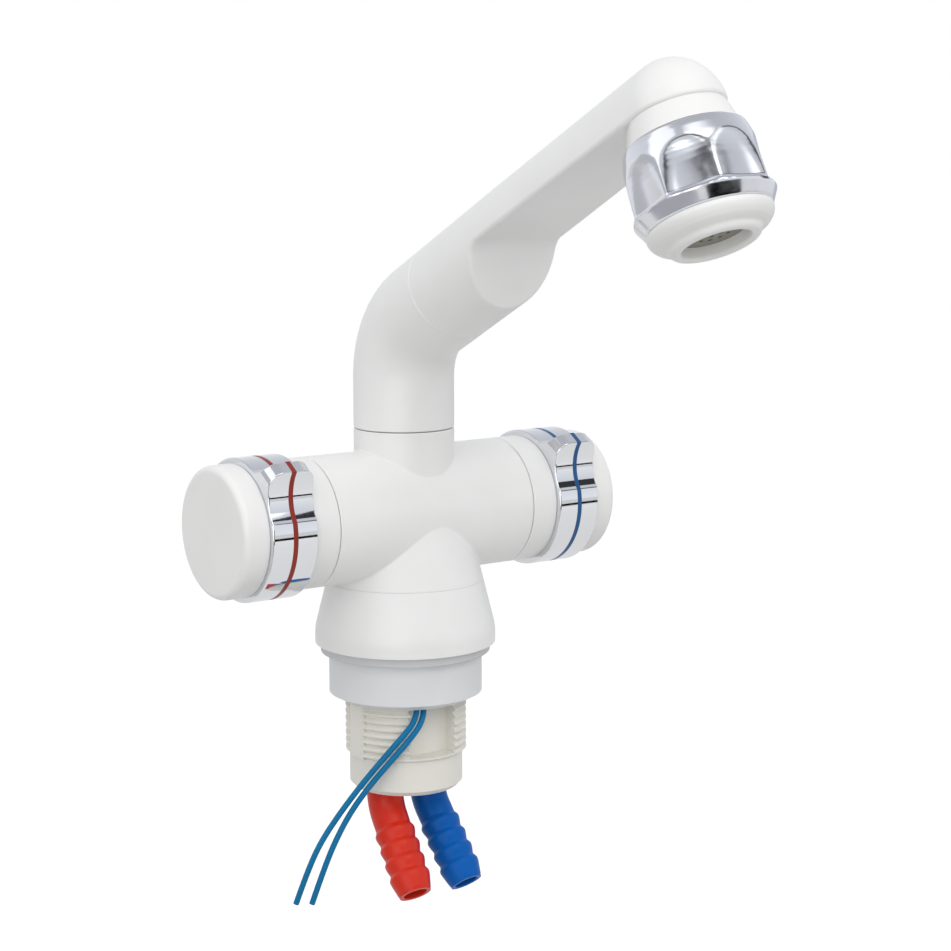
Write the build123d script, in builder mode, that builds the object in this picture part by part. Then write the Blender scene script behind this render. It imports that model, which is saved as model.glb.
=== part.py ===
from build123d import *
from math import cos, pi, radians, sin, tan
import os

os.makedirs("parts", exist_ok=True)

# A two-handled mixing tap for a wash basin in a vehicle. Its handles press switches that run a pump.
# The origin is the middle of the base's seating face. +Z is up and +X is the cold side.
# The user stands at -Y. All sizes are in millimetres.

# Clearances between pieces
fit_gap = 0.05
press_gap = 0.02
seam_gap = 0.25
running_gap = 0.1

# Crossbar body
bar_radius = 17.3
bar_height = 35.5
body_half_length = 30.8
riser_radius = 13.5
riser_stub = 5.5
junction_fillet = 0.6
seam_chamfer = 0.25

# Base skirt, a straight cone over a plain rim
rim_radius = 24.5
rim_height = 4.0
rim_fillet = 12.0
cone_slope = 0.25
skirt_clearance = 1.0
skirt_inner_radius = 21.1
skirt_web_low = 8.0
skirt_web_high = 12.0
collar_thickness = 2.2

# Gasket and mounting nut
gasket_radius = 23.0
gasket_thickness = 3.2
gasket_recess = 0.6
gasket_edge_fillet = 0.3
nut_radius = 20.8
nut_height = 12.8
nut_chamfer_width = 3.2
nut_chamfer_height = 1.7
nut_mouth_chamfer = 0.5

# Threaded shank, M33 x 2
thread_radius = 16.5
thread_pitch = 2.0
thread_depth = 1.2
thread_crest = 0.4
thread_flank = 0.7
thread_count = 15
thread_lead = 0.1
thread_end = -30.5
shank_lower_radius = 15.4
shank_bottom = -40.0
shank_tip_chamfer = 1.3
shank_flange_radius = 19.4
strip_half_width = 3.2
strip_flat = 16.05
cable_slot_left = 8.0
cable_slot_right = 5.6
cable_slot_floor = 11.2
cable_slot_bottom = -29.3
cable_slot_top = 10.0
duct_half_width = 4.4
duct_back = 4.9
duct_bottom = -9.0
channel_offset = 7.0
channel_radius = 3.2

# Hose tails
tail_plug_radius = 5.5
tail_plug_length = 11.5
tail_bore_radius = 3.0
tail_corner = -44.9
tail_bend_radius = 11.0
tail_forward = 16.6
tail_outward = 1.4
tail_drop = 21.1
tail_neck_radius = 5.0
tail_neck_length = 4.6
barb_radius = 5.65
barb_root_radius = 4.75
barb_land = 0.8
barb_pitch = 4.3
barb_count = 4
barb_tip_radius = 4.5
barb_tip_length = 2.1
barb_slope_length = 3.2
tail_seal_section = 0.6
tail_seal_place = 5.0

# Inlet tubes between the shank and the body
inlet_tube_radius = 4.0
inlet_tube_bore = 2.8
inlet_socket_depth = 6.0
inlet_seal_section = 0.6
passage_radius = 2.2
passage_overlap = 1.0
passage_outer_inset = 5.3
passage_drop = 8.0

# Screws that hold the shank's flange to the body
screw_circle_radius = 17.0
screw_count = 4
screw_radius = 1.3
screw_length = 10.0
screw_head_radius = 2.2
screw_head_height = 1.6

# Spout: riser, elbow and arm
elbow_rise = 26.3
elbow_bend = 20.4
arm_rise = 26.7
elbow_end = 26.4
waterway_radius = 6.0
spigot_radius = 8.95
spigot_length = 10.4
spigot_seal_section = 0.75
spigot_seal_drops = (3.6, 6.0)
clip_thickness = 1.2
clip_drop = 9.4
clip_outer = 10.1
clip_inner = 8.35
clip_opening = 6.0
glide_outer = 11.6
glide_depth = 1.0
arm_plug_length = 9.0
arm_plug_radius = 10.4
facet_start = 45.8
facet_end = 55.6
facet_fillet = 5.0
blend_start = 62.0
head_distance = 123.8
arm_tip_half_width = 12.1
arm_edge_fillet = 0.9
# Handle length, over the radius, that makes a Bezier curve a quarter of an ellipse
quarter_handle = 0.5523
arm_wide_bore_end = 44.0
arm_bore_radius = 3.8
arm_bore_lift = 5.8
outlet_chamber_radius = 5.0

# Outlet neck and spray head, measured down the outlet axis from the arm's flat
neck_top_radius = 11.6
neck_flare_radius = 13.3
neck_height = 5.6
neck_plug_radius = 7.0
neck_plug_length = 5.0
neck_spigot_radius = 9.0
neck_spigot_end = 17.6
neck_bore = 4.5
ring_top = 5.9
ring_top_radius = 13.8
ring_top_round = 0.5
ring_shoulder_radius = 14.35
ring_middle = 14.0
ring_middle_radius = 16.0
ring_widest = 22.5
ring_widest_radius = 16.7
ring_bottom = 25.9
ring_bottom_radius = 14.9
ring_band_bulge = 0.25
ring_inner_radius = 12.5
flute_count = 8
flute_phase = -2.0
flute_top = 8.6
flute_top_floor = 15.2
flute_low = 18.8
flute_low_floor = 14.7
flute_cove = 21.4
flute_cove_floor = 15.3
flute_cross_radius = 33.0
nozzle_skirt_top = 6.2
nozzle_bottom = 32.4
nozzle_shoulder_radius = 14.7
nozzle_dome_place = 29.6
nozzle_dome_radius = 12.4
nozzle_face_radius = 9.0
nozzle_chamber_radius = 8.15
mouth_radius = 7.3
mouth_depth = 3.8
plate_thickness = 1.4
plate_hole_radius = 0.5
plate_hole_pitch = 2.2
plate_hole_rings = 2
screen_thickness = 0.8
screen_hole_radius = 0.55
screen_hole_pitch = 1.9
screen_hole_rings = 3
insert_height = 5.0
insert_bore = 3.5
nozzle_seal_place = 10.4
nozzle_seal_section = 0.7
head_clip_place = 14.8
head_clip_outer = 10.0
head_clip_inner = 8.3

# Handles, measured outwards from the body's end
band_offset = 7.9
band_length = 13.3
band_radius = 18.8
band_wall = 2.5
sleeve_wall = 1.9
web_inset = 3.3
web_thickness = 3.0
hub_radius = 6.0
hub_offset = 5.7
hub_length = 10.5
drive_square = 4.8
drive_inset = 2.5
cap_length = 7.1
cap_radius = 17.4
cap_edge_fillet = 1.8
cap_face_thickness = 2.4
cap_plug_length = 5.0
cap_plug_wall = 1.6
stripe_inset = 6.7
stripe_width = 1.4
stripe_depth = 0.9
# The wing is the thumb tab on the band. Its points are given as forward and up from the crossbar's axis.
wing_root_angle = 62.0
wing_back_hollow = (12.1, 16.9)
wing_back = (15.0, 19.2)
wing_tip = (18.5, 16.9)
wing_scoop_middle = (16.4, 10.8)
wing_foot_angle = 12.0
wing_corner = 4.0
band_edge_fillet = 0.4

# Valves. Depths are measured inwards from the body's end, and insets outwards from the cartridge's inner end
cartridge_depth = 22.6
cartridge_radius = 10.5
cartridge_chamber_radius = 8.1
cartridge_chamber_length = 6.8
cartridge_flange_thickness = 1.2
cartridge_window_radius = 2.4
cartridge_window_inset = 4.6
cartridge_seal_inset = 10.4
cartridge_seal_section = 0.8
disc_radius = 8.0
disc_thickness = 2.0
disc_hole_radius = 2.0
disc_hole_offset = 3.9
spindle_radius = 3.5
driver_radius = 6.6
driver_thickness = 2.0
tongue_width = 2.0
tongue_length = 6.0
tongue_depth = 0.7
spindle_seal_inset = 10.2
spindle_seal_section = 0.5
switch_chamber_radius = 12.6
switch_chamber_depth = 8.8
cover_depth = 2.6
cover_head_height = 3.2
cover_head_across = 19.0
handle_screw_radius = 1.2
handle_screw_length = 7.0
handle_screw_head = 4.2
handle_screw_head_height = 1.8
screw_cross_width = 0.6
screw_cross_length = 3.6
screw_cross_depth = 0.9
spindle_end_gap = 0.2

# Switch cams and switches. The cam is an eccentric disc, so its lift grows evenly through a quarter turn.
cam_inset = 2.0
cam_radius = 6.25
cam_lift = 0.5
switch_top = 7.2
switch_height = 5.6
switch_length = 8.2
switch_thickness = 3.0
button_length = 1.6
button_width = 1.4
button_sink = 2.0
button_edge_fillet = 0.35

# Switch leads run forward from each switch, in along a groove and down to two crimped splices
lead_radius = 0.5
lead_spacing = 1.2
lead_groove_front = 8.6
hot_lead_forward = 6.4
cold_lead_forward = 7.8
lead_bend = 0.6
splice_offset = 2.2
splice_radius = 2.0
splice_top = 8.5
splice_length = 4.5
splice_edge_fillet = 0.5

# Two blue wires that leave by the shank's slot and run to the pump
wire_radius = 0.8
inner_wire_knee = 2.0
inner_wire_last_run = 3.0
inner_wire_slot_forward = 12.6
inner_wire_slot_height = -7.0
wire_a_points = [
    (-5.9, -14.1, -15.4),
    (-7.2, -15.5, -18.4),
    (-11.2, -15.0, -22.4),
    (-15.1, -11.9, -28.2),
    (-20.0, -8.5, -35.4),
    (-24.9, -5.0, -43.5),
    (-29.3, -1.9, -51.8),
    (-32.3, 0.3, -60.4),
    (-34.6, 2.0, -68.6),
]
wire_b_points = [
    (-4.0, -14.6, -15.4),
    (-5.1, -16.1, -18.5),
    (-9.5, -16.2, -23.0),
    (-13.7, -13.2, -29.0),
    (-18.3, -9.6, -35.9),
    (-22.6, -6.6, -43.3),
    (-26.1, -4.1, -51.7),
    (-28.8, -2.2, -60.2),
    (-31.1, -0.5, -68.6),
]

# Places worked out from the sizes above
skirt_height = bar_height - bar_radius - skirt_clearance
riser_top = bar_height + bar_radius + riser_stub
elbow_height = riser_top + elbow_rise
band_start = body_half_length + band_offset
band_end = band_start + band_length
end_face = band_end + cap_length
web_start = band_start + web_inset
stripe_middle = band_start + stripe_inset
hub_start = body_half_length + hub_offset
hub_end = hub_start + hub_length
drive_start = hub_start + drive_inset
mixing_half_length = body_half_length - cartridge_depth
cartridge_chamber_end = mixing_half_length + cartridge_chamber_length
cartridge_window_place = mixing_half_length + cartridge_window_inset
cartridge_seal_place = mixing_half_length + cartridge_seal_inset
cartridge_flange_radius = switch_chamber_radius - seam_gap
spindle_seal_place = mixing_half_length + spindle_seal_inset
switch_chamber_start = body_half_length - switch_chamber_depth
cam_start = switch_chamber_start + cam_inset
cover_start = body_half_length - cover_depth
cover_head_end = body_half_length + cover_head_height
passage_outer_end = mixing_half_length + passage_outer_inset
passage_top = bar_height - passage_drop
lead_first_height = bar_height - switch_chamber_radius
arm_angle = radians(arm_rise)
arm_direction = Vector(0, -cos(arm_angle), sin(arm_angle))
outlet_direction = Vector(0, -sin(arm_angle), -cos(arm_angle))
elbow_corner = Vector(0, 0, elbow_height)
head_point = elbow_corner + arm_direction * head_distance
riser_seat = riser_top + seam_gap
collar_radius = thread_radius + running_gap
nut_top = gasket_recess - gasket_thickness
nut_bottom = nut_top - nut_height
nut_bore = thread_radius + fit_gap
thread_start = thread_end + thread_count * thread_pitch
thread_root = thread_radius - thread_depth
inlet_seal_radius = inlet_tube_radius + inlet_seal_section + fit_gap
inlet_seal_room = inlet_seal_radius + inlet_seal_section + fit_gap
screw_top = skirt_web_high + running_gap + screw_head_height + screw_length
sleeve_start = body_half_length + seam_gap
band_inner_radius = band_radius - band_wall
sleeve_band_radius = band_inner_radius - fit_gap
sleeve_inner_radius = sleeve_band_radius - sleeve_wall
cap_plug_radius = sleeve_inner_radius - running_gap
spindle_hole = spindle_radius + fit_gap
seat_disc_end = mixing_half_length + disc_thickness
turning_disc_start = seat_disc_end + running_gap
turning_disc_end = turning_disc_start + disc_thickness
driver_start = turning_disc_end + fit_gap
spindle_end = hub_end - spindle_end_gap
handle_screw_top = hub_end + handle_screw_head_height
cartridge_end = switch_chamber_start + cartridge_flange_thickness
switch_bottom = bar_height - switch_top - switch_height
switch_middle = cam_start + switch_thickness / 2
button_tip = cam_radius - cam_lift / 2 + running_gap
lead_places = (
    (-1, lead_first_height, -splice_offset - lead_spacing, hot_lead_forward),
    (-1, lead_first_height + lead_spacing, splice_offset - lead_spacing, hot_lead_forward),
    (1, lead_first_height, splice_offset + lead_spacing, cold_lead_forward),
    (1, lead_first_height + lead_spacing, -splice_offset + lead_spacing, cold_lead_forward),
)

front_plane = Plane(origin=(0, 0, 0), x_dir=(1, 0, 0), z_dir=(0, -1, 0))
bar_axis = Axis((0, 0, bar_height), (1, 0, 0))
bar_plane = Plane(origin=(0, 0, bar_height), x_dir=(1, 0, 0), z_dir=(0, -1, 0))
arm_side_plane = Plane(origin=elbow_corner, x_dir=arm_direction, z_dir=(-1, 0, 0))
head_plane = Plane(origin=head_point, x_dir=arm_direction, z_dir=(-1, 0, 0))
head_axis = Axis(head_point, outlet_direction)


def skirt_radius(height):
    """Radius of the base cone at a height, which the body's saddle carries on."""
    return rim_radius - cone_slope * (height - rim_height)


def arm_section(distance):
    """Plane across the arm at a distance from the elbow's corner, with its first direction up."""
    place = elbow_corner + arm_direction * distance
    return Plane(origin=place, x_dir=outlet_direction * -1, z_dir=arm_direction)


def lying_section(distance):
    """Plane across the arm while it lies along X, with its first direction up, towards +Y."""
    return Plane(origin=(distance, 0, 0), x_dir=(0, 1, 0), z_dir=(1, 0, 0))


def outlet_section(depth):
    """Plane across the outlet at a depth below the arm's flat, facing down the outlet."""
    return Plane(origin=head_point + outlet_direction * depth, x_dir=(1, 0, 0), z_dir=outlet_direction)


def head_side(angle):
    """Plane through the outlet's axis at an angle about it, from straight ahead towards the cold side."""
    way = arm_direction * cos(radians(angle)) + Vector(1, 0, 0) * sin(radians(angle))
    return Plane(origin=head_point, x_dir=way, z_dir=outlet_direction.cross(way))


def bar_section(side, start, end):
    """Plane across a stretch of the crossbar at its +X end, facing -X, with front and up as directions."""
    place = end if side > 0 else -start
    return Plane(origin=(place, 0, bar_height), x_dir=(0, -1, 0), z_dir=(-1, 0, 0))


def revolve_outline(plane, axis, points, mode=Mode.ADD):
    """Turn a closed outline of straight lines about an axis."""
    with BuildSketch(plane) as profile:
        with BuildLine():
            Polyline(*points, close=True)
        make_face()
    revolve(profile.sketch, axis=axis, mode=mode)


def tube_section(inner, outer, low, high):
    """Corners of a tube's section whose radius lies along the first direction."""
    return [(inner, low), (outer, low), (outer, high), (inner, high)]


def bar_tube(side, inner, outer, start, end, mode=Mode.ADD):
    """A tube about the crossbar's axis, between two distances from its middle."""
    corners = [(side * start, inner), (side * start, outer), (side * end, outer), (side * end, inner)]
    revolve_outline(bar_plane, bar_axis, corners, mode)


def head_tube(inner, outer, top, bottom, mode=Mode.ADD):
    """A tube about the outlet's axis, between two depths."""
    revolve_outline(head_plane, head_axis, tube_section(inner, outer, -bottom, -top), mode)


def ring_seal(plane, axis, centre, section):
    """A round seal ring whose section lies at a point of the plane."""
    with BuildSketch(plane) as profile:
        with Locations(centre):
            Circle(section)
    revolve(profile.sketch, axis=axis)


def thread_teeth(crest, root, top, count):
    """Outline points of thread rings, from the top down, that join a core of the root's radius."""
    points = []
    for turn in range(count):
        start = top - turn * thread_pitch
        points.append((root, start))
        points.append((crest, start - thread_flank))
        points.append((crest, start - thread_flank - thread_crest))
        points.append((root, start - 2 * thread_flank - thread_crest))
    return points


def cord_corner_radii(points):
    """Bend radius at each corner of a cord: 0.45 of its shorter run, over the tangent of half the turn."""
    radii = []
    for before, corner, after in zip(points, points[1:], points[2:]):
        run_in = Vector(corner) - Vector(before)
        run_out = Vector(after) - Vector(corner)
        half_turn = radians(run_in.get_angle(run_out) / 2)
        radii.append(0.45 * min(run_in.length, run_out.length) / tan(half_turn))
    return radii


def sweep_tube(points, radii, section, mode=Mode.ADD):
    """A round tube along straight runs joined by tangent arcs."""
    with BuildLine() as route:
        FilletPolyline(*points, radius=radii)
    with BuildSketch(Plane(origin=route.line @ 0, z_dir=route.line % 0)) as profile:
        Circle(section)
    sweep(profile.sketch, path=route.line, mode=mode)


def hole_grid(pitch, rings):
    """Points of round hole circles about the middle, with six more holes in each circle out."""
    points = [(0, 0)]
    for ring in range(1, rings + 1):
        for step in range(6 * ring):
            angle = radians(60 * step / ring)
            points.append((ring * pitch * cos(angle), ring * pitch * sin(angle)))
    return points


def is_cut_edge(point):
    """Whether a point on an edge of the lying arm is along the cut, off the middle."""
    return point.X > elbow_end + seam_chamfer and point.Y < fit_gap and abs(point.Z) > fit_gap


def rim_point(angle):
    """Point on the band's round outside at an angle above the forward direction."""
    return (band_radius * cos(radians(angle)), band_radius * sin(radians(angle)))


def band_outline(plane, inset):
    """The outside of a handle's band with its wing, drawn in by an inset."""
    wing_root = rim_point(wing_root_angle)
    wing_foot = rim_point(wing_foot_angle)
    with BuildSketch(plane) as outline:
        with BuildLine():
            ThreePointArc(wing_root, wing_back_hollow, wing_back)
            Line(wing_back, wing_tip)
            ThreePointArc(wing_tip, wing_scoop_middle, wing_foot)
            ThreePointArc(wing_foot, rim_point(wing_foot_angle - 180), wing_root)
        make_face()
        if inset > 0:
            offset(amount=-inset, kind=Kind.INTERSECTION)
    return outline.sketch


# Crossbar body with the riser stub on top and the saddle that carries the cone on
with BuildPart() as tap_body:
    with BuildSketch(Plane.YZ.offset(-body_half_length)):
        with Locations((0, bar_height)):
            Circle(bar_radius)
    extrude(amount=2 * body_half_length)
    with BuildSketch(Plane.XY.offset(bar_height)):
        Circle(riser_radius)
    extrude(amount=riser_top - bar_height)
    saddle = [(0, skirt_height), (skirt_radius(skirt_height), skirt_height)]
    saddle += [(skirt_radius(bar_height), bar_height), (0, bar_height)]
    revolve_outline(front_plane, Axis.Z, saddle)
    junctions = tap_body.edges().filter_by(GeomType.BSPLINE) + tap_body.edges().filter_by(GeomType.OTHER)
    fillet(junctions, junction_fillet)
    chamfer(tap_body.edges().filter_by(GeomType.CIRCLE).sort_by(Axis.Z)[-1], seam_chamfer)
    chamfer(tap_body.edges().filter_by(GeomType.CIRCLE).sort_by(Axis.X)[0], seam_chamfer)
    chamfer(tap_body.edges().filter_by(GeomType.CIRCLE).sort_by(Axis.X)[-1], seam_chamfer)
    for side in (-1, 1):
        bar_tube(side, 0, waterway_radius, 0, mixing_half_length, Mode.SUBTRACT)
        bar_tube(side, 0, cartridge_radius + fit_gap, mixing_half_length, switch_chamber_start, Mode.SUBTRACT)
        bar_tube(side, 0, switch_chamber_radius, switch_chamber_start, body_half_length, Mode.SUBTRACT)
        with BuildSketch(Plane.XY.offset(switch_bottom)):
            with Locations((side * switch_middle, 0)):
                Rectangle(switch_thickness + 2 * running_gap, switch_length + 2 * running_gap)
        extrude(amount=switch_height, mode=Mode.SUBTRACT)
        with BuildSketch(Plane.XY.offset(skirt_height)):
            with Locations((side * channel_offset, 0)):
                Circle(inlet_tube_radius + fit_gap)
        extrude(amount=inlet_socket_depth, mode=Mode.SUBTRACT)
        with BuildSketch(Plane.XY.offset(skirt_height)):
            with Locations((side * channel_offset, 0)):
                Circle(inlet_seal_room)
        extrude(amount=inlet_seal_section + fit_gap, mode=Mode.SUBTRACT)
        passage_start = Vector(side * channel_offset, 0, skirt_height + inlet_socket_depth - passage_overlap)
        passage_way = Vector(side * passage_outer_end, 0, passage_top) - passage_start
        with BuildSketch(Plane(origin=passage_start, z_dir=passage_way)):
            Circle(passage_radius)
        extrude(amount=passage_way.length, mode=Mode.SUBTRACT)
        groove_low = lead_first_height - lead_radius - running_gap
        groove_height = lead_spacing + 2 * (lead_radius + running_gap)
        groove_inner = -side * duct_half_width
        groove_outer = side * (switch_middle + lead_radius + running_gap)
        groove_back = hot_lead_forward - lead_radius - running_gap
        with BuildSketch(Plane.XY.offset(groove_low)):
            with Locations(((groove_inner + groove_outer) / 2, -(lead_groove_front + groove_back) / 2)):
                Rectangle(abs(groove_outer - groove_inner), lead_groove_front - groove_back)
            with Locations((side * switch_middle, -(lead_groove_front + switch_length / 2) / 2)):
                Rectangle(2 * (lead_radius + running_gap), lead_groove_front - switch_length / 2)
        extrude(amount=groove_height, mode=Mode.SUBTRACT)
    with BuildSketch(Plane.XY.offset(skirt_height)):
        with Locations((0, -(lead_groove_front + groove_back) / 2)):
            Rectangle(2 * duct_half_width, lead_groove_front - groove_back)
    extrude(amount=groove_low + groove_height - skirt_height, mode=Mode.SUBTRACT)
    with BuildSketch(Plane.XY.offset(bar_height)):
        Circle(waterway_radius)
    extrude(amount=riser_top - bar_height, mode=Mode.SUBTRACT)
    with BuildSketch(Plane.XY.offset(riser_seat - spigot_length - seam_gap)):
        Circle(spigot_radius + fit_gap)
    extrude(amount=spigot_length, mode=Mode.SUBTRACT)
    clip_low = riser_top - clip_drop
    clip_room = tube_section(
        0,
        clip_outer + running_gap,
        clip_low - running_gap,
        clip_low + clip_thickness + running_gap,
    )
    revolve_outline(front_plane, Axis.Z, clip_room, Mode.SUBTRACT)
    glide_room = tube_section(0, glide_outer + fit_gap, riser_top - glide_depth - fit_gap, riser_top)
    revolve_outline(front_plane, Axis.Z, glide_room, Mode.SUBTRACT)
    with BuildSketch(Plane.XY.offset(skirt_height)):
        with PolarLocations(screw_circle_radius, screw_count, start_angle=45):
            Circle(screw_radius + press_gap)
    extrude(amount=screw_top - skirt_height, mode=Mode.SUBTRACT)
tap_body.part.label = "tap_body"
export_step(tap_body.part, "parts/tap_body.step")

# Conical base skirt with the web that the shank's flange presses on
with BuildPart() as base_skirt:
    with BuildSketch(front_plane):
        with BuildLine():
            Polyline(
                (collar_radius, gasket_recess),
                (collar_radius + collar_thickness, gasket_recess),
                (collar_radius + collar_thickness, skirt_web_low),
                (skirt_inner_radius, skirt_web_low),
                (skirt_inner_radius, gasket_recess),
                (gasket_radius + running_gap, gasket_recess),
                (gasket_radius + running_gap, 0),
                (rim_radius, 0),
                (rim_radius, rim_height),
                (skirt_radius(skirt_height), skirt_height),
                (shank_flange_radius + fit_gap, skirt_height),
                (shank_flange_radius + fit_gap, skirt_web_high),
                (collar_radius, skirt_web_high),
                close=True,
            )
        outline = make_face()
        rim_corner = outline.vertices().group_by(Axis.X)[-1].sort_by(Axis.Y)[-1]
        fillet(rim_corner, rim_fillet)
    revolve(axis=Axis.Z)
    chamfer(base_skirt.edges().group_by(Axis.Z)[-1].sort_by(SortBy.RADIUS)[-1], seam_chamfer)
base_skirt.part.label = "base_skirt"
export_step(base_skirt.part, "parts/base_skirt.step")

# Rubber gasket that seals the rim to the deck
with BuildPart() as base_gasket:
    revolve_outline(front_plane, Axis.Z, tube_section(collar_radius, gasket_radius, nut_top, gasket_recess))
    fillet(base_gasket.edges().group_by(Axis.Z)[0].sort_by(SortBy.RADIUS)[-1], gasket_edge_fillet)
base_gasket.part.label = "base_gasket"
export_step(base_gasket.part, "parts/base_gasket.step")

# Round plastic nut that clamps the tap to the deck. Its bore runs over the thread's crests
with BuildPart() as mounting_nut:
    nut_outline = [
        (nut_bore, nut_top),
        (nut_radius, nut_top),
        (nut_radius, nut_bottom + nut_chamfer_height),
        (nut_radius - nut_chamfer_width, nut_bottom),
        (nut_bore + nut_mouth_chamfer, nut_bottom),
        (nut_bore, nut_bottom + nut_mouth_chamfer),
    ]
    revolve_outline(front_plane, Axis.Z, nut_outline)
    chamfer(mounting_nut.edges().group_by(Axis.Z)[-1].sort_by(SortBy.RADIUS)[-1], seam_chamfer)
mounting_nut.part.label = "mounting_nut"
export_step(mounting_nut.part, "parts/mounting_nut.step")

# Threaded shank with two water channels, a cable slot at the front and a flange on top
with BuildPart() as threaded_shank:
    shank_outline = [(0, shank_bottom), (0, skirt_height), (shank_flange_radius, skirt_height)]
    shank_outline += [(shank_flange_radius, skirt_web_high), (thread_radius, skirt_web_high)]
    shank_outline += [(thread_radius, thread_start)]
    shank_outline += thread_teeth(thread_radius, thread_root, thread_start - thread_lead, thread_count)
    shank_outline += [(shank_lower_radius, thread_end)]
    shank_outline += [(shank_lower_radius, shank_bottom + shank_tip_chamfer)]
    shank_outline += [(shank_lower_radius - shank_tip_chamfer, shank_bottom)]
    revolve_outline(front_plane, Axis.Z, shank_outline)
    for side in (-1, 1):
        with BuildSketch(Plane.XY.offset(thread_end)):
            with Locations((side * strip_flat / 2, 0)):
                Rectangle(strip_flat, 2 * strip_half_width)
        extrude(amount=thread_start - thread_end)
        with BuildSketch(Plane.XY.offset(thread_end)):
            with Locations((side * (strip_flat + thread_depth / 2), 0)):
                Rectangle(thread_depth, 2 * strip_half_width)
        extrude(amount=thread_start - thread_end, mode=Mode.SUBTRACT)
    slot_front = thread_radius + thread_depth
    with BuildSketch(Plane.XY.offset(cable_slot_bottom)):
        with Locations(((cable_slot_right - cable_slot_left) / 2, -(cable_slot_floor + slot_front) / 2)):
            Rectangle(cable_slot_left + cable_slot_right, slot_front - cable_slot_floor)
    extrude(amount=cable_slot_top - cable_slot_bottom, mode=Mode.SUBTRACT)
    with BuildSketch(Plane.XY.offset(duct_bottom)):
        with Locations((0, -(cable_slot_floor + duct_back) / 2)):
            Rectangle(2 * duct_half_width, cable_slot_floor - duct_back)
    extrude(amount=skirt_height - duct_bottom, mode=Mode.SUBTRACT)
    for side in (-1, 1):
        with BuildSketch(Plane.XY.offset(shank_bottom)):
            with Locations((side * channel_offset, 0)):
                Circle(channel_radius)
        extrude(amount=skirt_height - shank_bottom, mode=Mode.SUBTRACT)
        with BuildSketch(Plane.XY.offset(shank_bottom)):
            with Locations((side * channel_offset, 0)):
                Circle(tail_plug_radius + fit_gap)
        extrude(amount=tail_plug_length, mode=Mode.SUBTRACT)
        with BuildSketch(Plane.XY.offset(skirt_height - inlet_socket_depth)):
            with Locations((side * channel_offset, 0)):
                Circle(inlet_tube_radius + fit_gap)
        extrude(amount=inlet_socket_depth, mode=Mode.SUBTRACT)
        with BuildSketch(Plane.XY.offset(skirt_height - inlet_seal_section - fit_gap)):
            with Locations((side * channel_offset, 0)):
                Circle(inlet_seal_room)
        extrude(amount=inlet_seal_section + fit_gap, mode=Mode.SUBTRACT)
    with BuildSketch(Plane.XY.offset(thread_start)):
        with PolarLocations(screw_circle_radius, screw_count, start_angle=45):
            Circle(screw_head_radius + running_gap)
    well_height = screw_top - screw_length - thread_start
    extrude(amount=well_height, mode=Mode.SUBTRACT)
    with BuildSketch(Plane.XY.offset(skirt_web_high)):
        with PolarLocations(screw_circle_radius, screw_count, start_angle=45):
            Circle(screw_radius + press_gap)
    extrude(amount=skirt_height - skirt_web_high, mode=Mode.SUBTRACT)
threaded_shank.part.label = "threaded_shank"
export_step(threaded_shank.part, "parts/threaded_shank.step")

# Screws from below through the shank's flange into the body
with BuildPart() as body_screws:
    with BuildSketch(Plane.XY.offset(screw_top - screw_length - screw_head_height)):
        with PolarLocations(screw_circle_radius, screw_count, start_angle=45):
            Circle(screw_head_radius)
    extrude(amount=screw_head_height)
    with BuildSketch(Plane.XY.offset(screw_top - screw_length)):
        with PolarLocations(screw_circle_radius, screw_count, start_angle=45):
            Circle(screw_radius)
    extrude(amount=screw_length)
body_screws.part.label = "body_screws"
export_step(body_screws.part, "parts/body_screws.step")

# Curved hose tails under the shank, hot on the left and cold on the right
for side, name in ((-1, "hot"), (1, "cold")):
    tail_top = Vector(side * channel_offset, 0, shank_bottom + tail_plug_length)
    tail_bend = Vector(side * channel_offset, 0, tail_corner)
    tail_end = tail_bend + Vector(side * tail_outward, -tail_forward, -tail_drop)
    tail_way = (tail_end - tail_bend).normalized()
    tail_cross = Vector(1, 0, 0).cross(tail_way).normalized()
    tail_plane = Plane(origin=tail_end, x_dir=tail_cross, z_dir=tail_cross.cross(tail_way * -1))
    tail_axis = Axis(tail_end, tail_way)
    with BuildPart() as hose_tail:
        sweep_tube([tail_top, tail_bend, tail_end], [tail_bend_radius], barb_root_radius)
        neck_end = tail_bend + tail_way * tail_neck_length
        sweep_tube([tail_top, tail_bend, neck_end], [tail_bend_radius], tail_neck_radius)
        with BuildSketch(Plane.XY.offset(shank_bottom)):
            with Locations((side * channel_offset, 0)):
                Circle(tail_plug_radius)
        extrude(amount=tail_plug_length)
        barbs = [(0, 0), (barb_tip_radius, 0)]
        for barb in range(barb_count):
            slope_start = barb_tip_length + barb * barb_pitch
            land_start = slope_start + barb_slope_length
            barbs.append((barb_root_radius if barb > 0 else barb_tip_radius, slope_start))
            barbs.append((barb_radius, land_start))
            barbs.append((barb_radius, land_start + barb_land))
            barbs.append((barb_root_radius, land_start + barb_land))
        barbs.append((0, barbs[-1][1]))
        revolve_outline(tail_plane, tail_axis, barbs)
        sweep_tube([tail_top, tail_bend, tail_end], [tail_bend_radius], tail_bore_radius, Mode.SUBTRACT)
        tail_seal_radius = tail_plug_radius - tail_seal_section - fit_gap
        seal_height = shank_bottom + tail_plug_length - tail_seal_place
        with BuildSketch(Plane.XY.offset(seal_height - tail_seal_section - fit_gap)):
            with Locations((side * channel_offset, 0)):
                Circle(tail_plug_radius + fit_gap)
                Circle(tail_seal_radius - tail_seal_section - fit_gap, mode=Mode.SUBTRACT)
        extrude(amount=2 * (tail_seal_section + fit_gap), mode=Mode.SUBTRACT)
    hose_tail.part.label = name + "_hose_tail"
    export_step(hose_tail.part, "parts/" + name + "_hose_tail.step")

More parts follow.
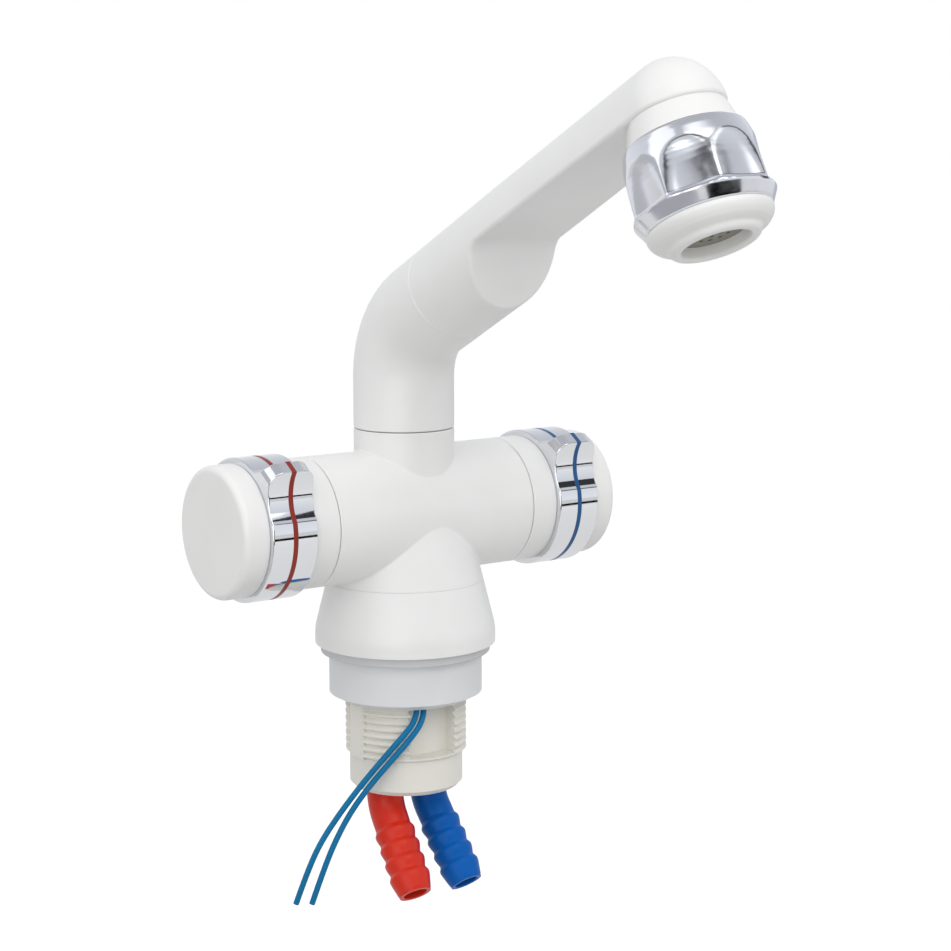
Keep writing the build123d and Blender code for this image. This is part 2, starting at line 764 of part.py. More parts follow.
# Round seals on the plugs of the hose tails
with BuildPart() as tail_seals:
    for side in (-1, 1):
        seal_axis = Axis((side * channel_offset, 0, 0), (0, 0, 1))
        seal_centre = (side * channel_offset + tail_seal_radius, seal_height)
        ring_seal(front_plane, seal_axis, seal_centre, tail_seal_section)
tail_seals.part.label = "tail_seals"
export_step(tail_seals.part, "parts/tail_seals.step")

# Water tubes that join the shank to the body, each with a seal at the joint face
with BuildPart() as inlet_tubes:
    with BuildSketch(Plane.XY.offset(skirt_height - inlet_socket_depth)):
        with Locations((-channel_offset, 0), (channel_offset, 0)):
            Circle(inlet_tube_radius)
            Circle(inlet_tube_bore, mode=Mode.SUBTRACT)
    extrude(amount=2 * inlet_socket_depth - running_gap)
inlet_tubes.part.label = "inlet_tubes"
export_step(inlet_tubes.part, "parts/inlet_tubes.step")

with BuildPart() as inlet_seals:
    for side in (-1, 1):
        seal_axis = Axis((side * channel_offset, 0, 0), (0, 0, 1))
        seal_centre = (side * channel_offset + inlet_seal_radius, skirt_height)
        ring_seal(front_plane, seal_axis, seal_centre, inlet_seal_section)
inlet_seals.part.label = "inlet_seals"
export_step(inlet_seals.part, "parts/inlet_seals.step")

# Splices and the inner length of the two blue wires, down to the nut's mouth
splice_y = -(hot_lead_forward + cold_lead_forward) / 2
with BuildPart() as wire_splices:
    with BuildSketch(Plane.XY.offset(splice_top - splice_length)):
        with Locations((-splice_offset, splice_y), (splice_offset, splice_y)):
            Circle(splice_radius)
    extrude(amount=splice_length)
    fillet(wire_splices.edges(), splice_edge_fillet)
wire_splices.part.label = "wire_splices"
export_step(wire_splices.part, "parts/wire_splices.step")

with BuildPart() as inner_wires:
    for place, points in ((-splice_offset, wire_a_points), (splice_offset, wire_b_points)):
        wire_exit = Vector(*points[0])
        wire_way = (Vector(*points[1]) - wire_exit).normalized()
        splice_low = Vector(place, splice_y, splice_top - splice_length)
        knee = splice_low - Vector(0, 0, inner_wire_knee)
        slot_point = Vector(place, -inner_wire_slot_forward, inner_wire_slot_height)
        inner_points = [splice_low, knee, slot_point, wire_exit - wire_way * inner_wire_last_run, wire_exit]
        sweep_tube(inner_points, cord_corner_radii(inner_points), wire_radius)
inner_wires.part.label = "inner_wires"
export_step(inner_wires.part, "parts/inner_wires.step")

# Blue wires that hang free from the slot, cut off at their ends
for name, points in (("switch_wire_a", wire_a_points), ("switch_wire_b", wire_b_points)):
    corner_radii = cord_corner_radii(points)
    print(name, "corner radii", [round(radius, 1) for radius in corner_radii])
    with BuildPart() as wire:
        sweep_tube(points, corner_radii, wire_radius)
        with BuildLine(mode=Mode.PRIVATE) as wire_route:
            FilletPolyline(*points, radius=corner_radii)
    route_length = sum(edge.length for edge in wire_route.edges())
    print(name, "length", round(route_length, 1), "volume", round(wire.part.volume, 2))
    print(name, "section times length", round(pi * wire_radius ** 2 * route_length, 2))
    wire.part.label = name
    export_step(wire.part, "parts/" + name + ".step")

# The valve, switch and handle pieces are alike on both sides of the crossbar
for side, name in ((-1, "hot"), (1, "cold")):
    with BuildPart() as cartridge_body:
        bar_tube(side, 0, cartridge_radius, mixing_half_length, switch_chamber_start)
        bar_tube(side, 0, cartridge_flange_radius, switch_chamber_start, cartridge_end)
        bar_tube(side, 0, cartridge_chamber_radius, mixing_half_length, cartridge_chamber_end, Mode.SUBTRACT)
        bar_tube(side, 0, spindle_hole, cartridge_chamber_end, cartridge_end, Mode.SUBTRACT)
        with BuildSketch(Plane.XY.offset(bar_height)):
            with Locations((side * cartridge_window_place, 0)):
                Circle(cartridge_window_radius)
        extrude(amount=-bar_radius, mode=Mode.SUBTRACT)
        seal_room = cartridge_seal_section + fit_gap
        cartridge_seal_radius = cartridge_radius - seal_room
        bar_tube(
            side,
            cartridge_seal_radius - seal_room,
            cartridge_radius + fit_gap,
            cartridge_seal_place - seal_room,
            cartridge_seal_place + seal_room,
            Mode.SUBTRACT,
        )
    cartridge_body.part.label = name + "_cartridge_body"
    export_step(cartridge_body.part, "parts/" + name + "_cartridge_body.step")

    # Fixed disc with a hole above and below the axis
    with BuildPart() as seat_disc:
        with BuildSketch(bar_section(side, mixing_half_length, seat_disc_end)):
            Circle(disc_radius)
            with Locations((0, disc_hole_offset), (0, -disc_hole_offset)):
                Circle(disc_hole_radius, mode=Mode.SUBTRACT)
        extrude(amount=disc_thickness)
    seat_disc.part.label = name + "_seat_disc"
    export_step(seat_disc.part, "parts/" + name + "_seat_disc.step")

    # Turning disc, whose holes stand across the fixed disc's while the tap is shut
    with BuildPart() as turning_disc:
        with BuildSketch(bar_section(side, turning_disc_start, turning_disc_end)):
            Circle(disc_radius)
            with Locations((disc_hole_offset, 0), (-disc_hole_offset, 0)):
                Circle(disc_hole_radius, mode=Mode.SUBTRACT)
        extrude(amount=disc_thickness)
        slot_depth = tongue_depth + fit_gap
        with BuildSketch(bar_section(side, turning_disc_end - slot_depth, turning_disc_end)):
            Rectangle(tongue_width + 2 * fit_gap, tongue_length + 2 * fit_gap)
        extrude(amount=slot_depth, mode=Mode.SUBTRACT)
    turning_disc.part.label = name + "_turning_disc"
    export_step(turning_disc.part, "parts/" + name + "_turning_disc.step")

    # Spindle with the driver at its inner end and a square drive at its outer end
    with BuildPart() as spindle:
        bar_tube(side, 0, driver_radius, driver_start, driver_start + driver_thickness)
        bar_tube(side, 0, spindle_radius, driver_start, drive_start)
        with BuildSketch(bar_section(side, drive_start, spindle_end)):
            Rectangle(drive_square, drive_square)
        extrude(amount=spindle_end - drive_start)
        with BuildSketch(bar_section(side, driver_start - tongue_depth, driver_start)):
            Rectangle(tongue_width, tongue_length)
        extrude(amount=tongue_depth)
        seal_room = spindle_seal_section + fit_gap
        spindle_seal_radius = spindle_radius - seal_room
        bar_tube(
            side,
            spindle_seal_radius - seal_room,
            spindle_hole,
            spindle_seal_place - seal_room,
            spindle_seal_place + seal_room,
            Mode.SUBTRACT,
        )
        screw_hole_start = hub_end - handle_screw_length - spindle_end_gap
        bar_tube(side, 0, handle_screw_radius + press_gap, screw_hole_start, spindle_end, Mode.SUBTRACT)
    spindle.part.label = name + "_spindle"
    export_step(spindle.part, "parts/" + name + "_spindle.step")

    with BuildPart() as spindle_seal:
        ring_seal(bar_plane, bar_axis, (side * spindle_seal_place, spindle_seal_radius), spindle_seal_section)
    spindle_seal.part.label = name + "_spindle_seal"
    export_step(spindle_seal.part, "parts/" + name + "_spindle_seal.step")

    # Cam on the spindle. Its high side comes round to the switch as the handle opens.
    with BuildPart() as switch_cam:
        with BuildSketch(bar_section(side, cam_start, cam_start + switch_thickness)):
            with Locations((cam_lift / 2, cam_lift / 2)):
                Circle(cam_radius)
            Circle(spindle_radius + press_gap, mode=Mode.SUBTRACT)
        extrude(amount=switch_thickness)
    switch_cam.part.label = name + "_switch_cam"
    export_step(switch_cam.part, "parts/" + name + "_switch_cam.step")

    # Switch under the cam, with its button's slot in the top and its leads at the front
    with BuildPart() as microswitch:
        with BuildSketch(Plane.XY.offset(switch_bottom)):
            with Locations((side * switch_middle, 0)):
                Rectangle(switch_thickness, switch_length)
        extrude(amount=switch_height)
        button_room = button_sink + cam_lift + running_gap
        with BuildSketch(Plane.XY.offset(bar_height - switch_top - button_room)):
            with Locations((side * switch_middle, 0)):
                Rectangle(button_length + 2 * running_gap, button_width + 2 * running_gap)
        extrude(amount=button_room, mode=Mode.SUBTRACT)
    microswitch.part.label = name + "_microswitch"
    export_step(microswitch.part, "parts/" + name + "_microswitch.step")

    with BuildPart() as switch_button:
        with BuildSketch(Plane.XY.offset(bar_height - switch_top - button_sink)):
            with Locations((side * switch_middle, 0)):
                Rectangle(button_length, button_width)
        extrude(amount=switch_top + button_sink - button_tip)
        fillet(switch_button.edges().group_by(Axis.Z)[-1].filter_by(Axis.X), button_edge_fillet)
    switch_button.part.label = name + "_switch_button"
    export_step(switch_button.part, "parts/" + name + "_switch_button.step")

    with BuildPart() as switch_leads:
        for lead_side, height, column, forward in lead_places:
            if lead_side == side:
                lead_points = [
                    (side * switch_middle, -switch_length / 2, height),
                    (side * switch_middle, -forward, height),
                    (column, -forward, height),
                    (column, -forward, splice_top),
                ]
                sweep_tube(lead_points, [lead_bend, lead_bend], lead_radius)
    switch_leads.part.label = name + "_switch_leads"
    export_step(switch_leads.part, "parts/" + name + "_switch_leads.step")

    # Gland nut that closes the switch chamber and guides the spindle
    with BuildPart() as gland_nut:
        bar_tube(side, 0, switch_chamber_radius - fit_gap, cover_start, body_half_length)
        with BuildSketch(bar_section(side, body_half_length, cover_head_end)):
            RegularPolygon(radius=cover_head_across / 2, side_count=6, major_radius=False)
        extrude(amount=cover_head_end - body_half_length)
        bar_tube(side, 0, spindle_hole, cover_start, cover_head_end, Mode.SUBTRACT)
    gland_nut.part.label = name + "_gland_nut"
    export_step(gland_nut.part, "parts/" + name + "_gland_nut.step")

    # White sleeve that carries the chrome band on the spindle
    with BuildPart() as handle_sleeve:
        bar_tube(side, sleeve_inner_radius, bar_radius, sleeve_start, band_start)
        bar_tube(side, sleeve_inner_radius, sleeve_band_radius, band_start, band_end)
        bar_tube(side, 0, sleeve_band_radius - sleeve_wall / 2, web_start, web_start + web_thickness)
        bar_tube(side, 0, hub_radius, hub_start, hub_end)
        bar_tube(side, 0, spindle_hole, hub_start, drive_start, Mode.SUBTRACT)
        with BuildSketch(bar_section(side, drive_start, hub_end)):
            Rectangle(drive_square + 2 * fit_gap, drive_square + 2 * fit_gap)
        extrude(amount=hub_end - drive_start, mode=Mode.SUBTRACT)
        outer_rings = handle_sleeve.edges().filter_by(GeomType.CIRCLE).group_by(SortBy.RADIUS)[-1]
        chamfer(outer_rings, seam_chamfer)
    handle_sleeve.part.label = name + "_handle_sleeve"
    export_step(handle_sleeve.part, "parts/" + name + "_handle_sleeve.step")

    # Chrome band with its thumb wing and a groove for the coloured stripe
    stripe_start = stripe_middle - stripe_width / 2
    stripe_end = stripe_middle + stripe_width / 2
    with BuildPart() as chrome_band:
        extrude(band_outline(bar_section(side, band_start, band_end), 0), amount=band_length)
        tip_length = (Vector(wing_tip) - Vector(wing_back)).length
        tip_edges = chrome_band.edges().filter_by(lambda edge: abs(edge.length - tip_length) < running_gap)
        fillet(tip_edges, wing_corner)
        fillet(chrome_band.edges(), band_edge_fillet)
        bar_tube(side, 0, band_inner_radius, band_start, band_end, Mode.SUBTRACT)
        groove_plane = bar_section(side, stripe_start, stripe_end)
        with BuildSketch(groove_plane):
            Circle(2 * band_radius)
            add(groove_plane.to_local_coords(band_outline(groove_plane, stripe_depth)), mode=Mode.SUBTRACT)
        extrude(amount=stripe_width, mode=Mode.SUBTRACT)
    chrome_band.part.label = name + "_chrome_band"
    export_step(chrome_band.part, "parts/" + name + "_chrome_band.step")

    # Coloured stripe in the band's groove, red for hot and blue for cold
    with BuildPart() as stripe:
        extrude(band_outline(groove_plane, 0), amount=stripe_width)
        extrude(band_outline(groove_plane, stripe_depth), amount=stripe_width, mode=Mode.SUBTRACT)
    stripe.part.label = name + "_stripe"
    export_step(stripe.part, "parts/" + name + "_stripe.step")

    # End cap, pushed into the sleeve
    with BuildPart() as end_cap:
        bar_tube(side, 0, cap_radius, band_end, end_face)
        rims = end_cap.edges().filter_by(GeomType.CIRCLE).sort_by(Axis.X)
        fillet(rims[-1] if side > 0 else rims[0], cap_edge_fillet)
        chamfer(rims[0] if side > 0 else rims[-1], seam_chamfer)
        bar_tube(side, 0, cap_plug_radius, band_end - cap_plug_length, band_end)
        cap_hollow_end = end_face - cap_face_thickness
        cap_hollow_radius = cap_plug_radius - cap_plug_wall
        bar_tube(side, 0, cap_hollow_radius, band_end - cap_plug_length, cap_hollow_end, Mode.SUBTRACT)
    end_cap.part.label = name + "_end_cap"
    export_step(end_cap.part, "parts/" + name + "_end_cap.step")

    with BuildPart() as handle_screw:
        bar_tube(side, 0, handle_screw_radius, hub_end - handle_screw_length, hub_end)
        bar_tube(side, 0, handle_screw_head, hub_end, handle_screw_top)
        with BuildSketch(bar_section(side, handle_screw_top - screw_cross_depth, handle_screw_top)):
            Rectangle(screw_cross_width, screw_cross_length)
            Rectangle(screw_cross_length, screw_cross_width)
        extrude(amount=screw_cross_depth, mode=Mode.SUBTRACT)
    handle_screw.part.label = name + "_handle_screw"
    export_step(handle_screw.part, "parts/" + name + "_handle_screw.step")

# Round seals on both cartridges
with BuildPart() as cartridge_seals:
    for side in (-1, 1):
        seal_centre = (side * cartridge_seal_place, cartridge_seal_radius)
        ring_seal(bar_plane, bar_axis, seal_centre, cartridge_seal_section)
cartridge_seals.part.label = "cartridge_seals"
export_step(cartridge_seals.part, "parts/cartridge_seals.step")

# Elbow on its spigot, from the riser's seam round the bend to the arm's seam
with BuildPart() as spout_elbow:
    elbow_way = [(0, 0, riser_seat), elbow_corner, elbow_corner + arm_direction * elbow_end]
    sweep_tube(elbow_way, [elbow_bend], riser_radius)
    chamfer(spout_elbow.edges().filter_by(GeomType.CIRCLE).group_by(Axis.Z)[0], seam_chamfer)
    chamfer(spout_elbow.edges().filter_by(GeomType.CIRCLE).sort_by(Axis.Y)[0], seam_chamfer)
    spigot_bottom = riser_seat - spigot_length
    with BuildSketch(Plane.XY.offset(spigot_bottom)):
        Circle(spigot_radius)
    extrude(amount=spigot_length)
    chamfer(spout_elbow.edges().group_by(Axis.Z)[0], seam_chamfer)
    sweep_tube([(0, 0, spigot_bottom)] + elbow_way[1:], [elbow_bend], waterway_radius, Mode.SUBTRACT)
    with BuildSketch(arm_section(elbow_end - arm_plug_length - running_gap)):
        Circle(arm_plug_radius + fit_gap)
    extrude(amount=arm_plug_length + running_gap, mode=Mode.SUBTRACT)
    seal_room = spigot_seal_section + fit_gap
    swivel_seal_radius = spigot_radius - seal_room
    for drop in spigot_seal_drops:
        low = riser_top - drop - seal_room
        seal_groove = tube_section(
            swivel_seal_radius - seal_room,
            spigot_radius + fit_gap,
            low,
            low + 2 * seal_room,
        )
        revolve_outline(front_plane, Axis.Z, seal_groove, Mode.SUBTRACT)
    clip_groove = tube_section(
        clip_inner - running_gap,
        spigot_radius + fit_gap,
        clip_low - fit_gap,
        clip_low + clip_thickness + fit_gap,
    )
    revolve_outline(front_plane, Axis.Z, clip_groove, Mode.SUBTRACT)
spout_elbow.part.label = "spout_elbow"
export_step(spout_elbow.part, "parts/spout_elbow.step")

with BuildPart() as swivel_seals:
    for drop in spigot_seal_drops:
        ring_seal(front_plane, Axis.Z, (swivel_seal_radius, riser_top - drop), spigot_seal_section)
swivel_seals.part.label = "swivel_seals"
export_step(swivel_seals.part, "parts/swivel_seals.step")

# Open spring ring that keeps the spigot in the riser
with BuildPart() as retaining_ring:
    with BuildSketch(Plane.XY.offset(clip_low)):
        Circle(clip_outer)
        Circle(clip_inner, mode=Mode.SUBTRACT)
        with Locations((0, clip_outer)):
            Rectangle(clip_opening, clip_outer, mode=Mode.SUBTRACT)
    extrude(amount=clip_thickness)
retaining_ring.part.label = "retaining_ring"
export_step(retaining_ring.part, "parts/retaining_ring.step")

# Slippery washer that the elbow turns on
with BuildPart() as swivel_bush:
    bush_corners = tube_section(spigot_radius + fit_gap, glide_outer, riser_top - glide_depth, riser_seat)
    revolve_outline(front_plane, Axis.Z, bush_corners)
swivel_bush.part.label = "swivel_bush"
export_step(swivel_bush.part, "parts/swivel_bush.step")

# Arm: a round tube that thins to its upper half beyond a slanted facet and ends in a dome over the outlet.
# It is made lying along X, with the elbow's corner at the origin, and then set at its rise.
lying_head_plane = Plane(origin=(head_distance, 0, 0))
lying_head_axis = Axis((head_distance, 0, 0), (0, -1, 0))
with BuildPart() as spout_arm:
    with BuildSketch(lying_section(elbow_end)):
        Circle(riser_radius)
    extrude(amount=blend_start - elbow_end)
    chamfer(spout_arm.edges().filter_by(GeomType.CIRCLE).sort_by(Axis.X)[0], seam_chamfer)
    with BuildSketch(lying_section(blend_start)):
        Circle(riser_radius)
    with BuildSketch(lying_section(head_distance)):
        Ellipse(riser_radius, arm_tip_half_width)
    loft()
    with BuildSketch(lying_head_plane):
        with BuildLine():
            Bezier(
                (arm_tip_half_width, 0),
                (arm_tip_half_width, riser_radius * quarter_handle),
                (arm_tip_half_width * quarter_handle, riser_radius),
                (0, riser_radius),
            )
            Polyline((0, riser_radius), (0, 0), (arm_tip_half_width, 0))
        make_face()
    revolve(axis=lying_head_axis)
    below = 2 * riser_radius
    facet_run = (facet_end - facet_start) / riser_radius * below
    beyond = head_distance + below
    with BuildSketch():
        with BuildLine():
            Polyline(
                (facet_end - facet_run, -below),
                (facet_end, 0),
                (beyond, 0),
                (beyond, -below),
                close=True,
            )
        cut_face = make_face()
        fillet(cut_face.vertices().group_by(Axis.Y)[-1].sort_by(Axis.X)[0], facet_fillet)
    extrude(amount=below, both=True, mode=Mode.SUBTRACT)
    fillet(spout_arm.edges().filter_by(lambda edge: is_cut_edge(edge @ 0.5)), arm_edge_fillet)
    with BuildSketch(lying_section(elbow_end - arm_plug_length)):
        Circle(arm_plug_radius)
    extrude(amount=arm_plug_length + seam_gap)
    with BuildSketch(lying_section(elbow_end - arm_plug_length)):
        Circle(waterway_radius)
    extrude(amount=arm_wide_bore_end - elbow_end + arm_plug_length, mode=Mode.SUBTRACT)
    with BuildSketch(lying_section(arm_wide_bore_end - arm_bore_radius)):
        with Locations((arm_bore_lift, 0)):
            Circle(arm_bore_radius)
    extrude(amount=head_distance - arm_wide_bore_end + arm_bore_radius, mode=Mode.SUBTRACT)
    chamber = tube_section(0, outlet_chamber_radius, 0, arm_bore_lift + arm_bore_radius)
    revolve_outline(lying_head_plane, lying_head_axis, chamber, Mode.SUBTRACT)
    plug_room = tube_section(0, neck_plug_radius + fit_gap, 0, neck_plug_length + running_gap)
    revolve_outline(lying_head_plane, lying_head_axis, plug_room, Mode.SUBTRACT)
risen_arm = spout_arm.part.moved(arm_side_plane.location)
risen_arm.label = "spout_arm"
export_step(risen_arm, "parts/spout_arm.step")

# White neck under the arm, with the spigot that the spray head turns on
with BuildPart() as outlet_neck:
    neck_corners = [
        (neck_bore, -neck_spigot_end),
        (neck_spigot_radius, -neck_spigot_end),
        (neck_spigot_radius, -neck_height),
        (neck_flare_radius, -neck_height),
        (neck_top_radius, 0),
        (neck_plug_radius, 0),
        (neck_plug_radius, neck_plug_length),
        (neck_bore, neck_plug_length),
    ]
    revolve_outline(head_plane, head_axis, neck_corners)
    seal_room = nozzle_seal_section + fit_gap
    nozzle_seal_radius = neck_spigot_radius - seal_room
    head_tube(
        nozzle_seal_radius - seal_room,
        neck_spigot_radius + fit_gap,
        nozzle_seal_place - seal_room,
        nozzle_seal_place + seal_room,
        Mode.SUBTRACT,
    )
    head_tube(
        head_clip_inner - running_gap,
        neck_spigot_radius + fit_gap,
        head_clip_place - fit_gap,
        head_clip_place + clip_thickness + fit_gap,
        Mode.SUBTRACT,
    )
outlet_neck.part.label = "outlet_neck"
export_step(outlet_neck.part, "parts/outlet_neck.step")

with BuildPart() as nozzle_seal:
    ring_seal(head_plane, head_axis, (nozzle_seal_radius, -nozzle_seal_place), nozzle_seal_section)
nozzle_seal.part.label = "nozzle_seal"
export_step(nozzle_seal.part, "parts/nozzle_seal.step")

with BuildPart() as head_clip:
    with BuildSketch(outlet_section(head_clip_place)):
        Circle(head_clip_outer)
        Circle(head_clip_inner, mode=Mode.SUBTRACT)
        with Locations((0, head_clip_outer)):
            Rectangle(clip_opening, head_clip_outer, mode=Mode.SUBTRACT)
    extrude(amount=clip_thickness)
head_clip.part.label = "head_clip"
export_step(head_clip.part, "parts/head_clip.step")

# Chrome spray ring with eight finger flutes above a plain band
with BuildPart() as spray_ring:
    with BuildSketch(head_plane):
        with BuildLine():
            Line((ring_inner_radius, -ring_bottom), (ring_inner_radius, -ring_top))
            Line((ring_inner_radius, -ring_top), (ring_top_radius, -ring_top))
            Line((ring_top_radius, -ring_top), (ring_shoulder_radius, -ring_top - ring_top_round))
            ThreePointArc(
                (ring_shoulder_radius, -ring_top - ring_top_round),
                (ring_middle_radius, -ring_middle),
                (ring_widest_radius, -ring_widest),
            )
            ThreePointArc(
                (ring_widest_radius, -ring_widest),
                (
                    (ring_widest_radius + ring_bottom_radius) / 2 + ring_band_bulge,
                    -(ring_widest + ring_bottom) / 2 - ring_band_bulge / 2,
                ),
                (ring_bottom_radius, -ring_bottom),
            )
            Line((ring_bottom_radius, -ring_bottom), (ring_inner_radius, -ring_bottom))
        make_face()
    revolve(axis=head_axis)
    cutter_axis_radius = flute_low_floor + flute_cross_radius
    for flute in range(flute_count):
        flute_plane = head_side(flute_phase + 360 * flute / flute_count)
        flute_axis = Axis(head_point + flute_plane.x_dir * cutter_axis_radius, outlet_direction)
        with BuildSketch(flute_plane):
            with BuildLine():
                Line((flute_top_floor, -flute_top), (flute_low_floor, -flute_low))
                ThreePointArc(
                    (flute_low_floor, -flute_low),
                    (flute_cove_floor, -flute_cove),
                    (ring_widest_radius + fit_gap, -ring_widest),
                )
                Polyline(
                    (ring_widest_radius + fit_gap, -ring_widest),
                    (cutter_axis_radius, -ring_widest),
                    (cutter_axis_radius, -flute_top),
                    (flute_top_floor, -flute_top),
                )
            make_face()
        revolve(axis=flute_axis, mode=Mode.SUBTRACT)
spray_ring.part.label = "spray_ring"
export_step(spray_ring.part, "parts/spray_ring.step")

# Nozzle body inside the ring, with the domed lower rim and the mouth
with BuildPart() as spray_nozzle:
    nozzle_radius = ring_inner_radius - fit_gap
    with BuildSketch(head_plane):
        with BuildLine():
            Polyline(
                (neck_spigot_radius + fit_gap, -nozzle_skirt_top),
                (nozzle_radius, -nozzle_skirt_top),
                (nozzle_radius, -ring_bottom),
                (nozzle_shoulder_radius, -ring_bottom),
            )
            ThreePointArc(
                (nozzle_shoulder_radius, -ring_bottom),
                (nozzle_dome_radius, -nozzle_dome_place),
                (nozzle_face_radius, -nozzle_bottom),
            )
            Polyline(
                (nozzle_face_radius, -nozzle_bottom),
                (mouth_radius, -nozzle_bottom),
                (mouth_radius, mouth_depth - nozzle_bottom),
                (nozzle_chamber_radius, mouth_depth - nozzle_bottom),
                (nozzle_chamber_radius, -neck_spigot_end - seam_gap),
                (neck_spigot_radius + fit_gap, -neck_spigot_end - seam_gap),
                (neck_spigot_radius + fit_gap, -nozzle_skirt_top),
            )
        make_face()
    revolve(axis=head_axis)
    head_tube(
        0,
        head_clip_outer + running_gap,
        head_clip_place - running_gap,
        head_clip_place + clip_thickness + running_gap,
        Mode.SUBTRACT,
    )
spray_nozzle.part.label = "spray_nozzle"
export_step(spray_nozzle.part, "parts/spray_nozzle.step")

# Spray plate, strainer and flow insert, stacked on the lip of the mouth
insert_radius = nozzle_chamber_radius - fit_gap
plate_low = nozzle_bottom - mouth_depth
with BuildPart() as spray_plate:
    with BuildSketch(outlet_section(plate_low - plate_thickness)):
        Circle(insert_radius)
        with Locations(*hole_grid(plate_hole_pitch, plate_hole_rings)):
            Circle(plate_hole_radius, mode=Mode.SUBTRACT)
    extrude(amount=plate_thickness)
spray_plate.part.label = "spray_plate"
export_step(spray_plate.part, "parts/spray_plate.step")

screen_low = plate_low - plate_thickness
with BuildPart() as strainer_screen:
    with BuildSketch(outlet_section(screen_low - screen_thickness)):
        Circle(insert_radius)
        with Locations(*hole_grid(screen_hole_pitch, screen_hole_rings)):
            Circle(screen_hole_radius, mode=Mode.SUBTRACT)
    extrude(amount=screen_thickness)
strainer_screen.part.label = "strainer_screen"
export_step(strainer_screen.part, "parts/strainer_screen.step")

insert_low = screen_low - screen_thickness
with BuildPart() as flow_insert:
    head_tube(insert_bore, insert_radius, insert_low - insert_height, insert_low)
flow_insert.part.label = "flow_insert"
export_step(flow_insert.part, "parts/flow_insert.step")
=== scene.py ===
from math import atan2, cos, pi, radians, sin

import bpy
from mathutils import Matrix, Vector


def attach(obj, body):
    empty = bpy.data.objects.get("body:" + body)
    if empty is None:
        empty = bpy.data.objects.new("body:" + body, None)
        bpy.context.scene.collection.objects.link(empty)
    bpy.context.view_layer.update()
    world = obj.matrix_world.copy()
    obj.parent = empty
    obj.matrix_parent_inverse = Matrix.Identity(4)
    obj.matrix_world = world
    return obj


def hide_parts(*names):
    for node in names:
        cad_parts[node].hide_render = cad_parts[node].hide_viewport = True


bl_info = {
    "name": "Switch tap",
    "version": (1, 0, 0),
    "blender": (4, 5, 0),
    "location": "3D View > Sidebar > Tap",
    "description": "Dresses the CAD solids of a mixing tap and models its wires, hose tails and spray head",
    "category": "Object",
}

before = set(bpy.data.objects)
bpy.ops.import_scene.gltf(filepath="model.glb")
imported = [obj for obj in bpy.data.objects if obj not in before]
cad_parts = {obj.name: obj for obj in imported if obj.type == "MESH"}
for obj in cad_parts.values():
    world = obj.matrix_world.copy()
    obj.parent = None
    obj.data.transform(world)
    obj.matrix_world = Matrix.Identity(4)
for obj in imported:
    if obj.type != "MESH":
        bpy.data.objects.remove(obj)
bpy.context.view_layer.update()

MM = 0.001

# Camera, from the perspective that was fitted to the photograph: turn in degrees, lengths in millimetres
CAMERA_AZIMUTH, CAMERA_ELEVATION, CAMERA_ROLL = -35.57, 8.783, -0.108
CAMERA_AIM_RIGHT, CAMERA_AIM_UP, CAMERA_DISTANCE = 19.185, 45.07, 611.6
FOCAL_PIXELS, PHOTO_PIXELS, SENSOR_WIDTH = 2270.3, 951, 36.0

# Sizes of the plastic's and the metal's texture, and of the random tone in the painted-reflection cards, in
# millimetres
FLOW_SIZE, SKIN_DEPTH = 14, 0.02
HAZE_SIZE, SWELL_DEPTH = 2.5, 0.05
REFLECTION_MOTTLE_SIZE = 20

# Edges sharper than this many degrees stay sharp
CREASE = 35.0
# Points nearer to each other than this, in millimetres, are made one
WELD = 0.001

# The wires' route points and lengths are those of the CAD solids, in millimetres
WIRE_A_LENGTH, WIRE_B_LENGTH = 64.1, 63.2
WIRE_A_ROUTE = [
    (-5.9, -14.1, -15.4),
    (-7.2, -15.5, -18.4),
    (-11.2, -15.0, -22.4),
    (-15.1, -11.9, -28.2),
    (-20.0, -8.5, -35.4),
    (-24.9, -5.0, -43.5),
    (-29.3, -1.9, -51.8),
    (-32.3, 0.3, -60.4),
    (-34.6, 2.0, -68.6),
]
WIRE_B_ROUTE = [
    (-4.0, -14.6, -15.4),
    (-5.1, -16.1, -18.5),
    (-9.5, -16.2, -23.0),
    (-13.7, -13.2, -29.0),
    (-18.3, -9.6, -35.9),
    (-22.6, -6.6, -43.3),
    (-26.1, -4.1, -51.7),
    (-28.8, -2.2, -60.2),
    (-31.1, -0.5, -68.6),
]


class TapColours(bpy.types.PropertyGroup):
    """Colours of the tap's finishes, as sRGB hex values."""

    body: bpy.props.StringProperty(
        name="Body", description="White of the moulded body and spout", default="#F3F3F2"
    )
    shank: bpy.props.StringProperty(
        name="Shank", description="Cream of the threaded shank", default="#ECEAE2"
    )
    nut: bpy.props.StringProperty(
        name="Nut", description="Cool white of the mounting nut", default="#E4E6E8"
    )
    gasket: bpy.props.StringProperty(
        name="Gasket", description="Pale grey of the gasket", default="#D2D4D5"
    )
    hot_tail: bpy.props.StringProperty(
        name="Hot tail", description="Red of the hot hose tail", default="#D92C14"
    )
    cold_tail: bpy.props.StringProperty(
        name="Cold tail", description="Blue of the cold hose tail", default="#005DB4"
    )
    hot_stripe: bpy.props.StringProperty(
        name="Hot stripe", description="Dark red of the hot stripe", default="#902A20"
    )
    cold_stripe: bpy.props.StringProperty(
        name="Cold stripe", description="Blue of the cold stripe", default="#185489"
    )
    wire: bpy.props.StringProperty(
        name="Wire", description="Blue of the wires' insulation", default="#0674A6"
    )
    # The insert's grey-beige, darker than the white nozzle, is painted shade for the recess deep in the
    # mouth
    insert: bpy.props.StringProperty(
        name="Spray insert", description="Grey-beige inside the mouth", default="#8D8B80"
    )


class TapSizes(bpy.types.PropertyGroup):
    """Sizes of the pieces that are modelled here."""

    wire_diameter: bpy.props.FloatProperty(
        name="Wire diameter",
        description="Outside of the insulation",
        default=1.6 * MM,
        unit="LENGTH",
        precision=4,
    )


